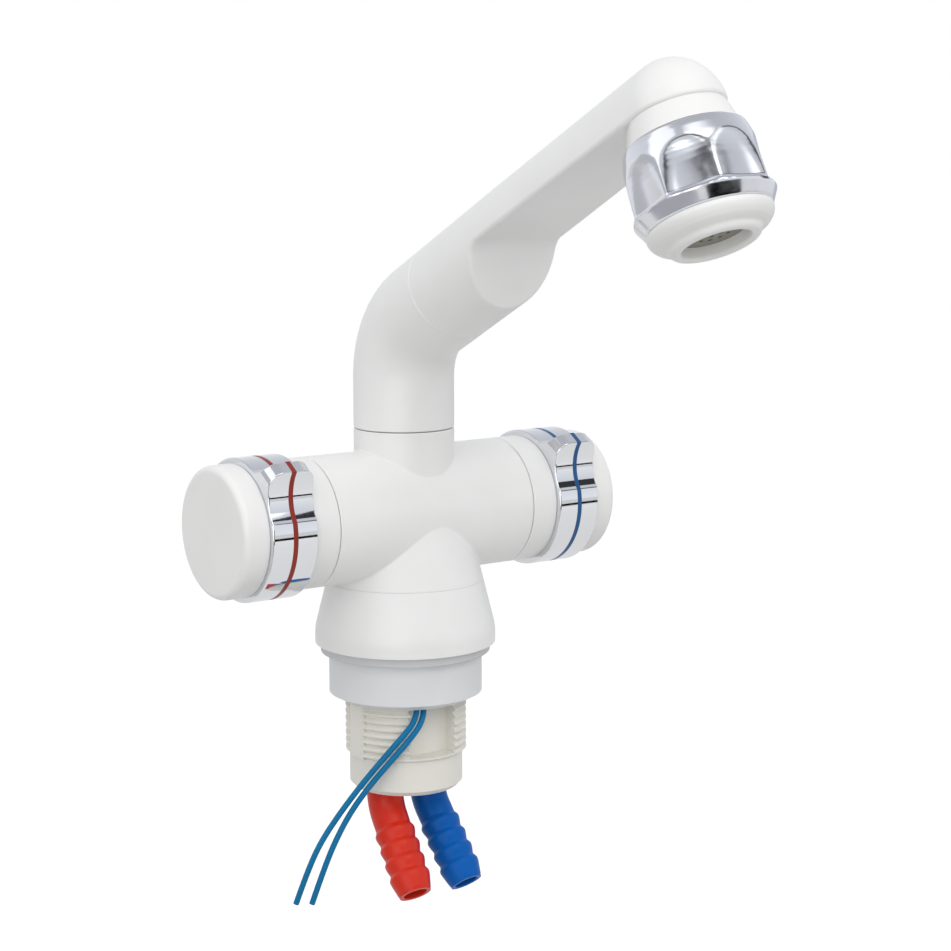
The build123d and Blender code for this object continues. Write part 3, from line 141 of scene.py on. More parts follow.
class TapStage(bpy.types.PropertyGroup):
    """The studio round the tap."""

    floor_height: bpy.props.FloatProperty(
        name="Floor height", description="Height of the floor", default=-0.16, unit="LENGTH"
    )
    floor_lift: bpy.props.FloatProperty(
        name="Floor lift", description="How much paler the camera sees the floor", default=0.64, min=0.0
    )
    floor_glint: bpy.props.FloatProperty(
        name="Floor glint", description="How much paler reflections see the floor", default=0.35, min=0.0
    )
    key_power: bpy.props.FloatProperty(name="Key power", description="Main lamp", default=3.6, unit="POWER")
    fill_power: bpy.props.FloatProperty(
        name="Fill power", description="Lamp low on the left", default=2.05, unit="POWER"
    )
    head_power: bpy.props.FloatProperty(
        name="Head power", description="Lamp over the spray head", default=0.6, unit="POWER"
    )
    arm_power: bpy.props.FloatProperty(
        name="Arm power", description="Lamp behind the arm's left", default=0.7, unit="POWER"
    )
    right_power: bpy.props.FloatProperty(
        name="Right power", description="Lamp low on the right", default=0.75, unit="POWER"
    )
    room_light: bpy.props.FloatProperty(
        name="Room light", description="Strength of the light at eye height", default=0.5, min=0.0
    )
    sky_light: bpy.props.FloatProperty(
        name="Sky light", description="Strength of the light from straight above", default=0.8, min=0.0
    )


def linear(hex_colour):
    """Linear RGBA of an sRGB hex colour."""
    parts = [int(hex_colour[i : i + 2], 16) / 255 for i in (1, 3, 5)]
    rgb = [part / 12.92 if part <= 0.04045 else ((part + 0.055) / 1.055) ** 2.4 for part in parts]
    return tuple(rgb) + (1.0,)


def shade_of(hex_colour, factor):
    """Linear RGBA of a hex colour made lighter or darker by a factor."""
    red, green, blue, alpha = linear(hex_colour)
    return (min(1.0, red * factor), min(1.0, green * factor), min(1.0, blue * factor), alpha)


def add_node(tree, kind, values=None, links=None, **settings):
    """Adds one node with its settings, its socket values and the sockets that feed it."""
    node = tree.nodes.new(kind)
    for name, value in settings.items():
        setattr(node, name, value)
    for name, value in (values or {}).items():
        node.inputs[name].default_value = value
    for name, source in (links or {}).items():
        tree.links.new(source, node.inputs[name])
    return node


def new_material(name):
    """An empty material with its object coordinates and its shader, joined to the output."""
    material = bpy.data.materials.new(name)
    material.use_nodes = True
    tree = material.node_tree
    tree.nodes.clear()
    place = add_node(tree, "ShaderNodeTexCoord").outputs["Object"]
    shader = add_node(tree, "ShaderNodeBsdfPrincipled")
    add_node(tree, "ShaderNodeOutputMaterial", links={"Surface": shader.outputs["BSDF"]})
    return material, tree, place, shader


def moulded_plastic(name, colour, ior, roughness, grain, relief, mottle=0.03, shine=0.5):
    """A moulded plastic: a faint flow mottle in its colour, uneven gloss and a fine skin grain, in mm."""
    material, tree, place, shader = new_material(name)
    flow = add_node(
        tree, "ShaderNodeTexNoise", {"Scale": 1 / (FLOW_SIZE * MM), "Detail": 3.0}, {"Vector": place}
    )
    ramp = add_node(tree, "ShaderNodeValToRGB", links={"Fac": flow.outputs["Fac"]})
    ramp.color_ramp.interpolation = "EASE"
    ramp.color_ramp.elements[0].color = shade_of(colour, 1 - 2 * mottle)
    ramp.color_ramp.elements[1].color = shade_of(colour, 1 + 2 * mottle)
    gloss = add_node(
        tree,
        "ShaderNodeMapRange",
        {"To Min": roughness * 0.8, "To Max": roughness * 1.2},
        {"Value": flow.outputs["Fac"]},
    )
    skin = add_node(
        tree, "ShaderNodeTexNoise", {"Scale": 1 / (grain * MM), "Detail": 2.0}, {"Vector": place}
    )
    bump = add_node(
        tree,
        "ShaderNodeBump",
        {"Strength": relief, "Distance": SKIN_DEPTH * MM},
        {"Height": skin.outputs["Fac"]},
    )
    tree.links.new(ramp.outputs["Color"], shader.inputs["Base Color"])
    tree.links.new(gloss.outputs["Result"], shader.inputs["Roughness"])
    tree.links.new(bump.outputs["Normal"], shader.inputs["Normal"])
    shader.inputs["IOR"].default_value = ior
    shader.inputs["Specular IOR Level"].default_value = shine
    return material


def bright_metal(name, colour, roughness, wave, relief):
    """A bright metal face: a slow waviness in millimetres that bends its reflections, and uneven polish."""
    material, tree, place, shader = new_material(name)
    swell = add_node(
        tree, "ShaderNodeTexNoise", {"Scale": 1 / (wave * MM), "Detail": 1.0}, {"Vector": place}
    )
    haze = add_node(
        tree, "ShaderNodeTexNoise", {"Scale": 1 / (HAZE_SIZE * MM), "Detail": 4.0}, {"Vector": place}
    )
    polish = add_node(
        tree,
        "ShaderNodeMapRange",
        {"To Min": roughness * 0.5, "To Max": roughness * 1.5},
        {"Value": haze.outputs["Fac"]},
    )
    bump = add_node(
        tree,
        "ShaderNodeBump",
        {"Strength": relief, "Distance": SWELL_DEPTH * MM},
        {"Height": swell.outputs["Fac"]},
    )
    shader.inputs["Base Color"].default_value = linear(colour)
    shader.inputs["Metallic"].default_value = 1.0
    tree.links.new(polish.outputs["Result"], shader.inputs["Roughness"])
    tree.links.new(bump.outputs["Normal"], shader.inputs["Normal"])
    return material


def finish_nodes(material, *names):
    """Gives CAD nodes a material."""
    for name in names:
        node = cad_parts[name]
        node.data.materials.clear()
        node.data.materials.append(material)


def both(*names):
    """The hot and the cold node of each name."""
    return [side + "_" + name for name in names for side in ("hot", "cold")]


def start_alone():
    """Leaves edit mode and deselects everything, so that an operator acts on the new piece alone."""
    if bpy.context.object and bpy.context.object.mode != "OBJECT":
        bpy.ops.object.mode_set(mode="OBJECT")
    bpy.ops.object.select_all(action="DESELECT")


def finish_piece(piece, material, body, slot, *nodes):
    """Shades a piece, gives it its material, hangs it on the body it rides on, and hides the solids it
    stands for.
    """
    start_alone()
    piece.select_set(True)
    bpy.context.view_layer.objects.active = piece
    bpy.ops.object.transform_apply(location=True, rotation=True, scale=True)
    bpy.ops.object.shade_smooth_by_angle(angle=radians(CREASE))
    piece.data.materials.clear()
    piece.data.materials.append(material)
    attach(piece, body)
    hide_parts(*nodes)


def spun_profile(name, points, steps):
    """Spins a closed profile of (radius, height) in millimetres about Z, in edit mode."""
    start_alone()
    mesh = bpy.data.meshes.new(name)
    places = [(radius * MM, 0.0, height * MM) for radius, height in points]
    edges = [(i, (i + 1) % len(points)) for i in range(len(points))]
    mesh.from_pydata(places, edges, [])
    piece = bpy.data.objects.new(name, mesh)
    bpy.context.collection.objects.link(piece)
    piece.select_set(True)
    bpy.context.view_layer.objects.active = piece
    bpy.ops.object.mode_set(mode="EDIT")
    bpy.ops.mesh.select_all(action="SELECT")
    bpy.ops.mesh.spin(steps=steps, angle=2 * pi, center=(0.0, 0.0, 0.0), axis=(0.0, 0.0, 1.0))
    bpy.ops.mesh.select_all(action="SELECT")
    bpy.ops.mesh.remove_doubles(threshold=WELD * MM)
    bpy.ops.mesh.normals_make_consistent(inside=False)
    bpy.ops.object.mode_set(mode="OBJECT")
    return piece


def smooth_run(points, gap):
    """Points at an even gap along a line, with its corners eased over about a gap's length."""
    run = []
    for (x0, y0), (x1, y1) in zip(points, points[1:]):
        count = max(1, round(((x1 - x0) ** 2 + (y1 - y0) ** 2) ** 0.5 / gap))
        run += [(x0 + (x1 - x0) * i / count, y0 + (y1 - y0) * i / count) for i in range(count)]
    run.append(points[-1])
    eased = [
        tuple((before[k] + 2 * here[k] + after[k]) / 4 for k in (0, 1))
        for before, here, after in zip(run, run[1:], run[2:])
    ]
    return [run[0]] + eased + [run[-1]]


class TAP_OT_wires(bpy.types.Operator):
    """Lay the two blue wires that hang from the shank's slot"""

    bl_idname = "tap.wires"
    bl_label = "Wires"

    def execute(self, context):
        diameter = context.scene.tap_sizes.wire_diameter
        # Blue PVC insulation, extruded: a soft gloss and a faint unevenness
        colour = context.scene.tap_colours.wire
        insulation = moulded_plastic("pvc_blue_extruded", colour, 1.53, 0.28, 0.5, 0.25, 0.05, shine=0.18)
        for name, route, length in (
            ("switch_wire_a_cord", WIRE_A_ROUTE, WIRE_A_LENGTH * MM),
            ("switch_wire_b_cord", WIRE_B_ROUTE, WIRE_B_LENGTH * MM),
        ):
            curve = bpy.data.curves.new(name, "CURVE")
            curve.dimensions = "3D"
            curve.resolution_u = 16
            curve.bevel_depth = diameter / 2
            curve.bevel_resolution = 6
            curve.use_fill_caps = True
            spline = curve.splines.new("NURBS")
            spline.points.add(len(route) - 1)
            for point, place in zip(spline.points, route):
                point.co = (place[0] * MM, place[1] * MM, place[2] * MM, 1.0)
            spline.order_u = 3
            spline.use_endpoint_u = True
            cord = bpy.data.objects.new(name, curve)
            context.collection.objects.link(cord)
            curve.materials.append(insulation)
            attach(cord, "tap")
            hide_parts(name.replace("_cord", ""))
        finish_nodes(insulation, "inner_wires", *both("switch_leads"))
        return {"FINISHED"}


class TAP_OT_body(bpy.types.Operator):
    """Finish the white moulded pieces"""

    bl_idname = "tap.body"
    bl_label = "White body"

    def execute(self, context):
        colours = context.scene.tap_colours
        # ABS, moulded in a polished tool: white, satin gloss
        white = moulded_plastic("abs_white_moulded", colours.body, 1.54, 0.3, 0.35, 0.12, mottle=0.01)
        finish_nodes(
            white, "tap_body", "base_skirt", "spout_elbow", "spout_arm", "outlet_neck",
            *both("handle_sleeve", "end_cap"),
        )
        return {"FINISHED"}


class TAP_OT_base(bpy.types.Operator):
    """Finish the shank, the nut and the gasket"""

    bl_idname = "tap.base"
    bl_label = "Shank and nut"

    def execute(self, context):
        colours = context.scene.tap_colours
        # Acetal, moulded and uncoloured: creamy white, waxy
        finish_nodes(
            moulded_plastic("acetal_natural_moulded", colours.shank, 1.48, 0.42, 0.5, 0.3, mottle=0.02),
            "threaded_shank",
        )
        # Nylon, moulded: a cooler white with a dull sheen
        finish_nodes(
            moulded_plastic("nylon_white_moulded", colours.nut, 1.53, 0.4, 0.45, 0.3, mottle=0.02),
            "mounting_nut",
        )
        # Thermoplastic rubber, moulded: matt
        finish_nodes(
            moulded_plastic("tpe_grey_moulded", colours.gasket, 1.5, 0.6, 0.6, 0.5, mottle=0.04),
            "base_gasket",
        )
        # Blue PVC sleeves, shrunk over the splices: darker than the wires, satin
        finish_nodes(
            moulded_plastic("pvc_blue_sleeve", "#1B3F86", 1.53, 0.35, 0.5, 0.2, mottle=0.05), "wire_splices"
        )
        return {"FINISHED"}


# A hose tail's middle line, as in the CAD solids, and the gap between its points, in millimetres
TAIL_OFFSET, TAIL_TOP_HEIGHT, TAIL_CORNER_HEIGHT = 7.0, -28.5, -44.9
TAIL_OUTWARD, TAIL_FORWARD, TAIL_DROP = 1.4, 16.6, 21.1
TAIL_BEND = 11.0
TAIL_GAP = 0.2


def tail_path(side, gap):
    """Places and directions along a hose tail's middle line, from its plug to its tip, in millimetres."""
    top = Vector((side * TAIL_OFFSET, 0.0, TAIL_TOP_HEIGHT))
    corner = Vector((side * TAIL_OFFSET, 0.0, TAIL_CORNER_HEIGHT))
    tip = corner + Vector((side * TAIL_OUTWARD, -TAIL_FORWARD, -TAIL_DROP))
    way_in = (corner - top).normalized()
    way_out = (tip - corner).normalized()
    turn = way_in.angle(way_out)
    reach = TAIL_BEND * sin(turn / 2) / cos(turn / 2)
    inward = (way_out - way_in * way_in.dot(way_out)).normalized()
    centre = corner - way_in * reach + inward * TAIL_BEND
    path = []
    straight = (corner - top).length - reach
    count = round(straight / gap)
    path += [(top + way_in * straight * i / count, way_in) for i in range(count)]
    count = round(TAIL_BEND * turn / gap)
    for i in range(count):
        angle = turn * i / count
        path.append(
            (centre - inward * TAIL_BEND * cos(angle) + way_in * TAIL_BEND * sin(angle),
             way_in * cos(angle) + inward * sin(angle))
        )
    straight = (tip - corner).length - reach
    count = round(straight / gap)
    path += [(tip - way_out * straight * (count - i) / count, way_out) for i in range(count + 1)]
    return path


# Outside radius of a hose tail by its distance from the tip, in millimetres: its barbs, a neck and the plug
BARB_COUNT, BARB_START, BARB_PITCH = 4, 2.1, 4.3
TAIL_OUTLINE = [(0.0, 4.1), (0.4, 4.55), (BARB_START, 4.95)]
for barb in range(BARB_COUNT):
    start = BARB_START + BARB_PITCH * barb
    TAIL_OUTLINE += [(start + 2.2, 5.5), (start + 3.5, 5.62), (start + 4.1, 4.85), (start + 4.5, 4.9)]
TAIL_OUTLINE += [(21.0, 4.95), (38.6, 5.0), (38.7, 5.5), (60.0, 5.5)]
# The radius is the mean at these distances, which rounds the barbs
TAIL_SOFTNESS = (-0.5, -0.25, 0.0, 0.25, 0.5)
# Mouth of the bore: the wall at the tip, the chamfer's width and depth, and how deep the bore goes
TAIL_WALL, BORE_CHAMFER, BORE_CHAMFER_DEPTH, BORE_DEPTH = 0.9, 0.25, 0.2, 12.0
# The tip's face lies nearer to the tip than this, and looks along the tail at least this well
TIP_REACH, TIP_FACING = 5, 0.98


def tail_radius(distance):
    """Outside radius of a hose tail at a distance from its tip."""
    for (start, first), (end, last) in zip(TAIL_OUTLINE, TAIL_OUTLINE[1:]):
        if distance <= end:
            return first + (last - first) * (distance - start) / (end - start)
    return TAIL_OUTLINE[-1][1]


class TAP_OT_tails(bpy.types.Operator):
    """Model the two curved hose tails with their barbs and bores"""

    bl_idname = "tap.tails"
    bl_label = "Hose tails"

    def execute(self, context):
        colours = context.scene.tap_colours
        # Polypropylene, moulded: deep colour and a soft, slightly waxy shine
        red = moulded_plastic(
            "polypropylene_red_moulded", colours.hot_tail, 1.49, 0.34, 0.6, 0.3, 0.06, shine=0.3
        )
        blue = moulded_plastic(
            "polypropylene_blue_moulded", colours.cold_tail, 1.49, 0.34, 0.6, 0.3, 0.06, shine=0.14
        )
        for side, name, material in ((-1, "hot", red), (1, "cold", blue)):
            path = tail_path(side, TAIL_GAP)
            gaps = [(b[0] - a[0]).length for a, b in zip(path, path[1:])]
            start_alone()
            curve = bpy.data.curves.new(name + "_tail", "CURVE")
            curve.dimensions = "3D"
            curve.twist_mode = "MINIMUM"
            curve.bevel_depth = 1 * MM
            curve.bevel_resolution = 10
            curve.use_fill_caps = True
            spline = curve.splines.new("POLY")
            spline.points.add(len(path) - 1)
            left = sum(gaps)
            for index, (point, (place, way)) in enumerate(zip(spline.points, path)):
                near = [tail_radius(abs(left + shift)) for shift in TAIL_SOFTNESS]
                point.co = (place.x * MM, place.y * MM, place.z * MM, 1.0)
                point.radius = sum(near) / len(near)
                if index < len(gaps):
                    left -= gaps[index]
            piece = bpy.data.objects.new(name + "_tail_barbed", curve)
            context.collection.objects.link(piece)
            piece.select_set(True)
            context.view_layer.objects.active = piece
            bpy.ops.object.convert(target="MESH")
            piece = context.active_object
            tip, way = path[-1]
            bpy.ops.object.mode_set(mode="EDIT")
            bpy.ops.mesh.select_all(action="SELECT")
            bpy.ops.mesh.remove_doubles(threshold=WELD * MM)
            bpy.ops.mesh.select_mode(type="FACE")
            bpy.ops.mesh.select_all(action="DESELECT")
            bpy.ops.object.mode_set(mode="OBJECT")
            # Bore: the tip's face is drawn in and pushed up the tail
            for face in piece.data.polygons:
                at_tip = (face.center - tip * MM).length < TIP_REACH * MM
                face.select = at_tip and abs(face.normal.dot(way)) > TIP_FACING
            bpy.ops.object.mode_set(mode="EDIT")
            bpy.ops.mesh.inset(thickness=TAIL_WALL * MM)
            bpy.ops.mesh.inset(thickness=BORE_CHAMFER * MM, depth=-BORE_CHAMFER_DEPTH * MM)
            push = tuple(way * (-BORE_DEPTH * MM))
            bpy.ops.mesh.extrude_region_move(TRANSFORM_OT_translate={"value": push})
            bpy.ops.mesh.select_all(action="SELECT")
            bpy.ops.mesh.normals_make_consistent(inside=False)
            slot = "red_plastic" if side < 0 else "blue_plastic"
            finish_piece(piece, material, "tap", slot, name + "_hose_tail")
        return {"FINISHED"}


# Outlet's axis, as in the CAD solids: the arm's rise in degrees, its start above the deck and its reach
ARM_RISE, ARM_START, ARM_REACH = 26.7, 84.6, 123.8

# Spray ring: outside (radius, depth below the outlet's head point) from its top edge down to its lower lip
RING_OUTSIDE = [
    (12.5, 5.9), (13.7, 5.9), (14.3, 6.2), (14.75, 7.6), (15.3, 9.9), (15.75, 12.1), (16.1, 14.4),
    (16.35, 16.8), (16.53, 19.3), (16.63, 21.4), (16.64, 22.2), (16.45, 22.8), (14.85, 25.7),
    (14.6, 25.9), (12.5, 25.9),
]
# Floor of each finger flute by depth, and the radius of its cross arc
FLUTE_FLOOR = [
    (9.0, 16.6), (10.0, 16.0), (10.9, 15.55), (11.8, 15.22), (12.8, 15.0), (14.0, 14.88),
    (15.5, 14.83), (21.4, 14.76), (21.9, 14.95), (22.3, 15.8), (22.5, 17.0), (22.9, 18.2),
]
FLUTE_CROSS = 33.0
# How far the flutes' edges are rounded, the number of flutes, and the angle of the first in degrees
FLUTE_SOFTNESS = 1.1
FLUTE_COUNT, FLUTE_PHASE = 8, -2.0
# Nothing nearer to the axis than this is fluted
RING_INSIDE = 12.6
# Gap between the points of the outline, and steps of its spin
RING_GAP, RING_STEPS = 0.25, 360


def flute_radius(angle, depth):
    """Radius of the nearest flute's floor at an angle about the outlet, and nothing above or below it."""
    if not FLUTE_FLOOR[0][0] <= depth <= FLUTE_FLOOR[-1][0]:
        return None
    for (start, first), (end, last) in zip(FLUTE_FLOOR, FLUTE_FLOOR[1:]):
        if depth <= end:
            floor = first + (last - first) * (depth - start) / (end - start)
            break
    pitch = 2 * pi / FLUTE_COUNT
    off = (angle - radians(FLUTE_PHASE) + pitch / 2) % pitch - pitch / 2
    # Nearest point on the cutter's circle, along the direction from the axis
    centre = floor + FLUTE_CROSS
    return centre * cos(off) - max(0.0, FLUTE_CROSS ** 2 - (centre * sin(off)) ** 2) ** 0.5


def outlet_turn():
    """Matrix that carries a piece from the origin, its +Z up, onto the outlet's axis."""
    rise = radians(ARM_RISE)
    along = Vector((0.0, -cos(rise), sin(rise)))
    down = Vector((0.0, -sin(rise), -cos(rise)))
    head = Vector((0.0, 0.0, ARM_START)) + along * ARM_REACH
    across = Vector((1.0, 0.0, 0.0))
    turn = Matrix((along, across, down * -1.0)).transposed().to_4x4()
    return Matrix.Translation(head * MM) @ turn


class TAP_OT_spray_ring(bpy.types.Operator):
    """Model the fluted chrome ring round the outlet"""

    bl_idname = "tap.spray_ring"
    bl_label = "Spray ring"

    def execute(self, context):
        outside = smooth_run([(radius, -depth) for radius, depth in RING_OUTSIDE], RING_GAP)
        piece = spun_profile("spray_ring_fluted", outside, RING_STEPS)
        for vertex in piece.data.vertices:
            x, y, depth = vertex.co.x / MM, vertex.co.y / MM, -vertex.co.z / MM
            radius = (x * x + y * y) ** 0.5
            floor = flute_radius(atan2(y, x), depth) if radius > RING_INSIDE else None
            if floor is not None:
                # Soft minimum of the ring and the flute, so the edge between them is rounded
                blend = max(0.0, FLUTE_SOFTNESS - abs(radius - floor)) / FLUTE_SOFTNESS
                lower = min(radius, floor) - blend * blend * FLUTE_SOFTNESS / 4
                vertex.co.x *= lower / radius
                vertex.co.y *= lower / radius
        piece.matrix_world = outlet_turn()
        # Chrome plated on moulded ABS, softer than the bands' mirror: blurred, silky reflections
        soft_chrome = bright_metal("chrome_plated_abs_satin", "#E4E5E9", 0.15, 6.0, 0.25)
        finish_piece(piece, soft_chrome, "spray_head", "chrome_plate", "spray_ring")
        return {"FINISHED"}


# Nozzle: outline (radius, depth) from its skirt's top, over the stepped rim and the mouth, to its chamber
NOZZLE_OUTLINE = [
    (9.05, 6.2), (12.45, 6.2), (12.45, 25.9), (14.75, 25.9), (14.7, 27.0), (14.14, 28.1), (13.2, 29.1),
    (12.1, 29.7), (11.3, 30.0), (10.9, 30.3), (10.6, 31.0), (10.1, 31.5), (9.3, 31.7), (8.5, 31.6),
    (8.05, 31.2), (7.95, 30.0), (7.95, 27.0), (8.15, 26.6), (8.15, 17.85), (9.05, 17.85),
]
NOZZLE_GAP, NOZZLE_STEPS = 0.3, 128


class TAP_OT_nozzle(bpy.types.Operator):
    """Model the white nozzle with its stepped rim round the mouth"""

    bl_idname = "tap.nozzle"
    bl_label = "Nozzle"

    def execute(self, context):
        outside = smooth_run([(radius, -depth) for radius, depth in NOZZLE_OUTLINE], NOZZLE_GAP)
        piece = spun_profile("spray_nozzle_stepped", outside, NOZZLE_STEPS)
        piece.matrix_world = outlet_turn()
        white = bpy.data.materials["abs_white_moulded"]
        finish_piece(piece, white, "spray_head", "white_body", "spray_nozzle")
        return {"FINISHED"}


class TAP_OT_chrome(bpy.types.Operator):
    """Finish the handles' chrome bands and stripes"""

    bl_idname = "tap.chrome"
    bl_label = "Chrome and stripes"

    def execute(self, context):
        colours = context.scene.tap_colours
        # Chrome plated on moulded ABS: a mirror with a slow swell from the moulding
        chrome = bright_metal("chrome_plated_abs", "#E6E7EA", 0.05, 9.0, 0.15)
        finish_nodes(chrome, *both("chrome_band"))
        # ABS, moulded in red and in blue: dark satin stripes
        finish_nodes(
            moulded_plastic("abs_red_moulded", colours.hot_stripe, 1.54, 0.35, 0.4, 0.2, 0.05, shine=0.3),
            "hot_stripe",
        )
        finish_nodes(
            moulded_plastic("abs_blue_moulded", colours.cold_stripe, 1.54, 0.35, 0.4, 0.2, 0.05, shine=0.3),
            "cold_stripe",
        )
        return {"FINISHED"}


class TAP_OT_inner(bpy.types.Operator):
    """Finish the valves, switches, seals and fittings inside"""

    bl_idname = "tap.inner"
    bl_label = "Inner pieces"

    def execute(self, context):
        colours = context.scene.tap_colours
        # Nitrile rubber, moulded: black and matt
        seals = moulded_plastic("nitrile_black_moulded", "#16171A", 1.52, 0.55, 0.4, 0.4, mottle=0.1)
        finish_nodes(
            seals, "swivel_seals", "tail_seals", "inlet_seals", "nozzle_seal", "cartridge_seals",
            *both("spindle_seal"),
        )
        # Acetal, moulded, for pieces that slide: cream and waxy
        slide = moulded_plastic("acetal_white_moulded", "#E6E4DA", 1.48, 0.38, 0.5, 0.25, mottle=0.02)
        finish_nodes(
            slide, "inlet_tubes", "swivel_bush", *both("cartridge_body", "gland_nut", "switch_cam")
        )
        # Alumina, lapped flat: pale, glossy and faintly mottled
        finish_nodes(
            moulded_plastic("alumina_ceramic_lapped", "#EFE9DA", 1.76, 0.16, 0.3, 0.2, mottle=0.04),
            *both("seat_disc", "turning_disc"),
        )
        # Brass, turned: warm yellow with a close ripple
        finish_nodes(bright_metal("brass_turned", "#D9B36B", 0.22, 1.2, 0.3), *both("spindle"))
        # Stainless steel, pressed: grey with a soft sheen
        finish_nodes(
            bright_metal("stainless_steel_pressed", "#C9CACB", 0.25, 2.0, 0.3),
            "body_screws", "retaining_ring", "head_clip", "strainer_screen", *both("handle_screw"),
        )
        # Phenolic resin, moulded: the switch cases' dull black
        finish_nodes(
            moulded_plastic("phenolic_black_moulded", "#1A1A1C", 1.6, 0.45, 0.4, 0.4, mottle=0.1),
            *both("microswitch"),
        )
        # Nylon, moulded: the switch buttons' dull red
        finish_nodes(
            moulded_plastic("nylon_red_moulded", "#A42218", 1.53, 0.4, 0.4, 0.3, mottle=0.05),
            *both("switch_button"),
        )
        # Acetal, moulded: the insert deep in the mouth, its grey-beige a painted shade for the mouth's
        # recess
        finish_nodes(
            moulded_plastic("acetal_grey_moulded", colours.insert, 1.48, 0.45, 0.5, 0.3, mottle=0.04),
            "spray_plate", "flow_insert",
        )
        return {"FINISHED"}


def set_world(context):
    """A white studio all round, whose own light is softer than it looks."""
    world = bpy.data.worlds.new("studio_white")
    context.scene.world = world
    world.use_nodes = True
    tree = world.node_tree
    tree.nodes.clear()
    path = add_node(tree, "ShaderNodeLightPath")
    seen = add_node(
        tree,
        "ShaderNodeMath",
        links={0: path.outputs["Is Camera Ray"], 1: path.outputs["Is Glossy Ray"]},
        operation="MAXIMUM",
    )
    seen_through = add_node(
        tree,
        "ShaderNodeMath",
        links={0: seen.outputs[0], 1: path.outputs["Is Transmission Ray"]},
        operation="MAXIMUM",
    )
    stage = context.scene.tap_stage
    way = add_node(tree, "ShaderNodeTexCoord").outputs["Generated"]
    height = add_node(tree, "ShaderNodeSeparateXYZ", links={"Vector": way}).outputs["Z"]
    own_light = add_node(
        tree,
        "ShaderNodeMapRange",
        {"To Min": stage.room_light, "To Max": stage.sky_light},
        {"Value": height},
    )
    strength = add_node(
        tree,
        "ShaderNodeMapRange",
        {"To Max": 1.0},
        {"Value": seen_through.outputs[0], "To Min": own_light.outputs["Result"]},
    )
    # Reflections see the studio a little greyer towards its ceiling
    shown = add_node(tree, "ShaderNodeValToRGB", links={"Fac": height})
    shown.color_ramp.elements[0].color = linear("#F2F5FA")
    shown.color_ramp.elements[1].color = linear("#BCBFC6")
    tint = add_node(
        tree,
        "ShaderNodeMix",
        {"A": (1.0, 1.0, 1.0, 1.0)},
        {"B": shown.outputs["Color"], "Factor": path.outputs["Is Glossy Ray"]},
        data_type="RGBA",
    )
    sky = add_node(
        tree,
        "ShaderNodeBackground",
        links={"Color": tint.outputs["Result"], "Strength": strength.outputs["Result"]},
    )
    add_node(tree, "ShaderNodeOutputWorld", links={"Surface": sky.outputs["Background"]})


def reflected_card(name, corner, across, up, colour):
    """A card that only reflections see: its corner and its two sides, in metres."""
    # Glowing sheet, no lamp, lit by itself so that lamps leave its shade alone: painted reflection, the
    # chrome's dark and grey streaks, with a tone that differs at random
    material, tree, place, shader = new_material(name.replace("card", "felt_pressed"))
    reflection_mottle = add_node(tree, "ShaderNodeTexNoise", {"Scale": 1 / (REFLECTION_MOTTLE_SIZE * MM)}, {"Vector": place})
    shade = add_node(tree, "ShaderNodeValToRGB", links={"Fac": reflection_mottle.outputs["Fac"]})
    shade.color_ramp.elements[0].color = shade_of(colour, 0.8)
    shade.color_ramp.elements[1].color = shade_of(colour, 1.2)
    tree.links.new(shade.outputs["Color"], shader.inputs["Emission Color"])
    shader.inputs["Emission Strength"].default_value = 1.0
    shader.inputs["Base Color"].default_value = (0.0, 0.0, 0.0, 1.0)
    shader.inputs["Specular IOR Level"].default_value = 0.0
    first, side, rise = Vector(corner), Vector(across), Vector(up)
    mesh = bpy.data.meshes.new(name)
    mesh.from_pydata([first, first + side, first + side + rise, first + rise], [], [(0, 1, 2, 3)])
    card = bpy.data.objects.new(name, mesh)
    bpy.context.collection.objects.link(card)
    mesh.materials.append(material)
    for way in ("visible_camera", "visible_diffuse", "visible_shadow", "visible_transmission"):
        setattr(card, way, False)


# Glowing cards that only reflections see, painted reflections in the chrome: name, corner, first side and
# second side in metres, and shade
CARDS = [
    ("card_overhead", (-1.5, -0.66, 0.88), (3.0, 0.0, 0.0), (0.0, 0.13, 0.06), "#2A2A2E"),
    ("card_near", (0.060, -0.16, 0.126), (0.21, 0.0, 0.0), (0.0, 0.0, 0.07), "#39393D"),
    ("card_front", (-0.24, -0.62, -0.145), (0.47, 0.0, 0.0), (0.0, 0.0, 0.24), "#0C0C10"),
    ("card_line", (0.25, -0.62, -0.105), (0.65, 0.0, 0.0), (0.0, 0.0, 0.042), "#0C0C10"),
    ("card_floor", (-1.4, -0.75, -0.155), (1.12, 0.0, 0.0), (0.0, 0.9, 0.0), "#B0B0B5"),
    ("card_left", (-0.75, -0.10, -0.15), (-0.1, 1.0, 0.0), (0.0, 0.0, 0.55), "#C2C3C8"),
    ("card_right", (0.80, 0.10, -0.15), (0.1, 0.7, 0.0), (0.0, 0.0, 0.45), "#BCC2CE"),
]


def set_camera(context):
    """The camera that was fitted to the photograph."""
    azimuth, elevation, roll = radians(CAMERA_AZIMUTH), radians(CAMERA_ELEVATION), radians(CAMERA_ROLL)
    back = Vector((sin(azimuth) * cos(elevation), -cos(azimuth) * cos(elevation), sin(elevation)))
    right = Vector((cos(azimuth), sin(azimuth), 0.0))
    aim = right * CAMERA_AIM_RIGHT * MM + Vector((0.0, 0.0, CAMERA_AIM_UP * MM))
    up = back.cross(right)
    turned_right = right * cos(roll) + up * sin(roll)
    turned_up = up * cos(roll) - right * sin(roll)
    data = bpy.data.cameras.new("photo_camera")
    data.sensor_width = SENSOR_WIDTH
    data.lens = FOCAL_PIXELS / PHOTO_PIXELS * SENSOR_WIDTH
    data.clip_start = 0.01
    camera = bpy.data.objects.new("photo_camera", data)
    context.collection.objects.link(camera)
    turn = Matrix((turned_right, turned_up, back)).transposed().to_4x4()
    camera.matrix_world = Matrix.Translation(aim + back * CAMERA_DISTANCE * MM) @ turn
    context.scene.camera = camera
    context.scene.view_settings.view_transform = "Standard"


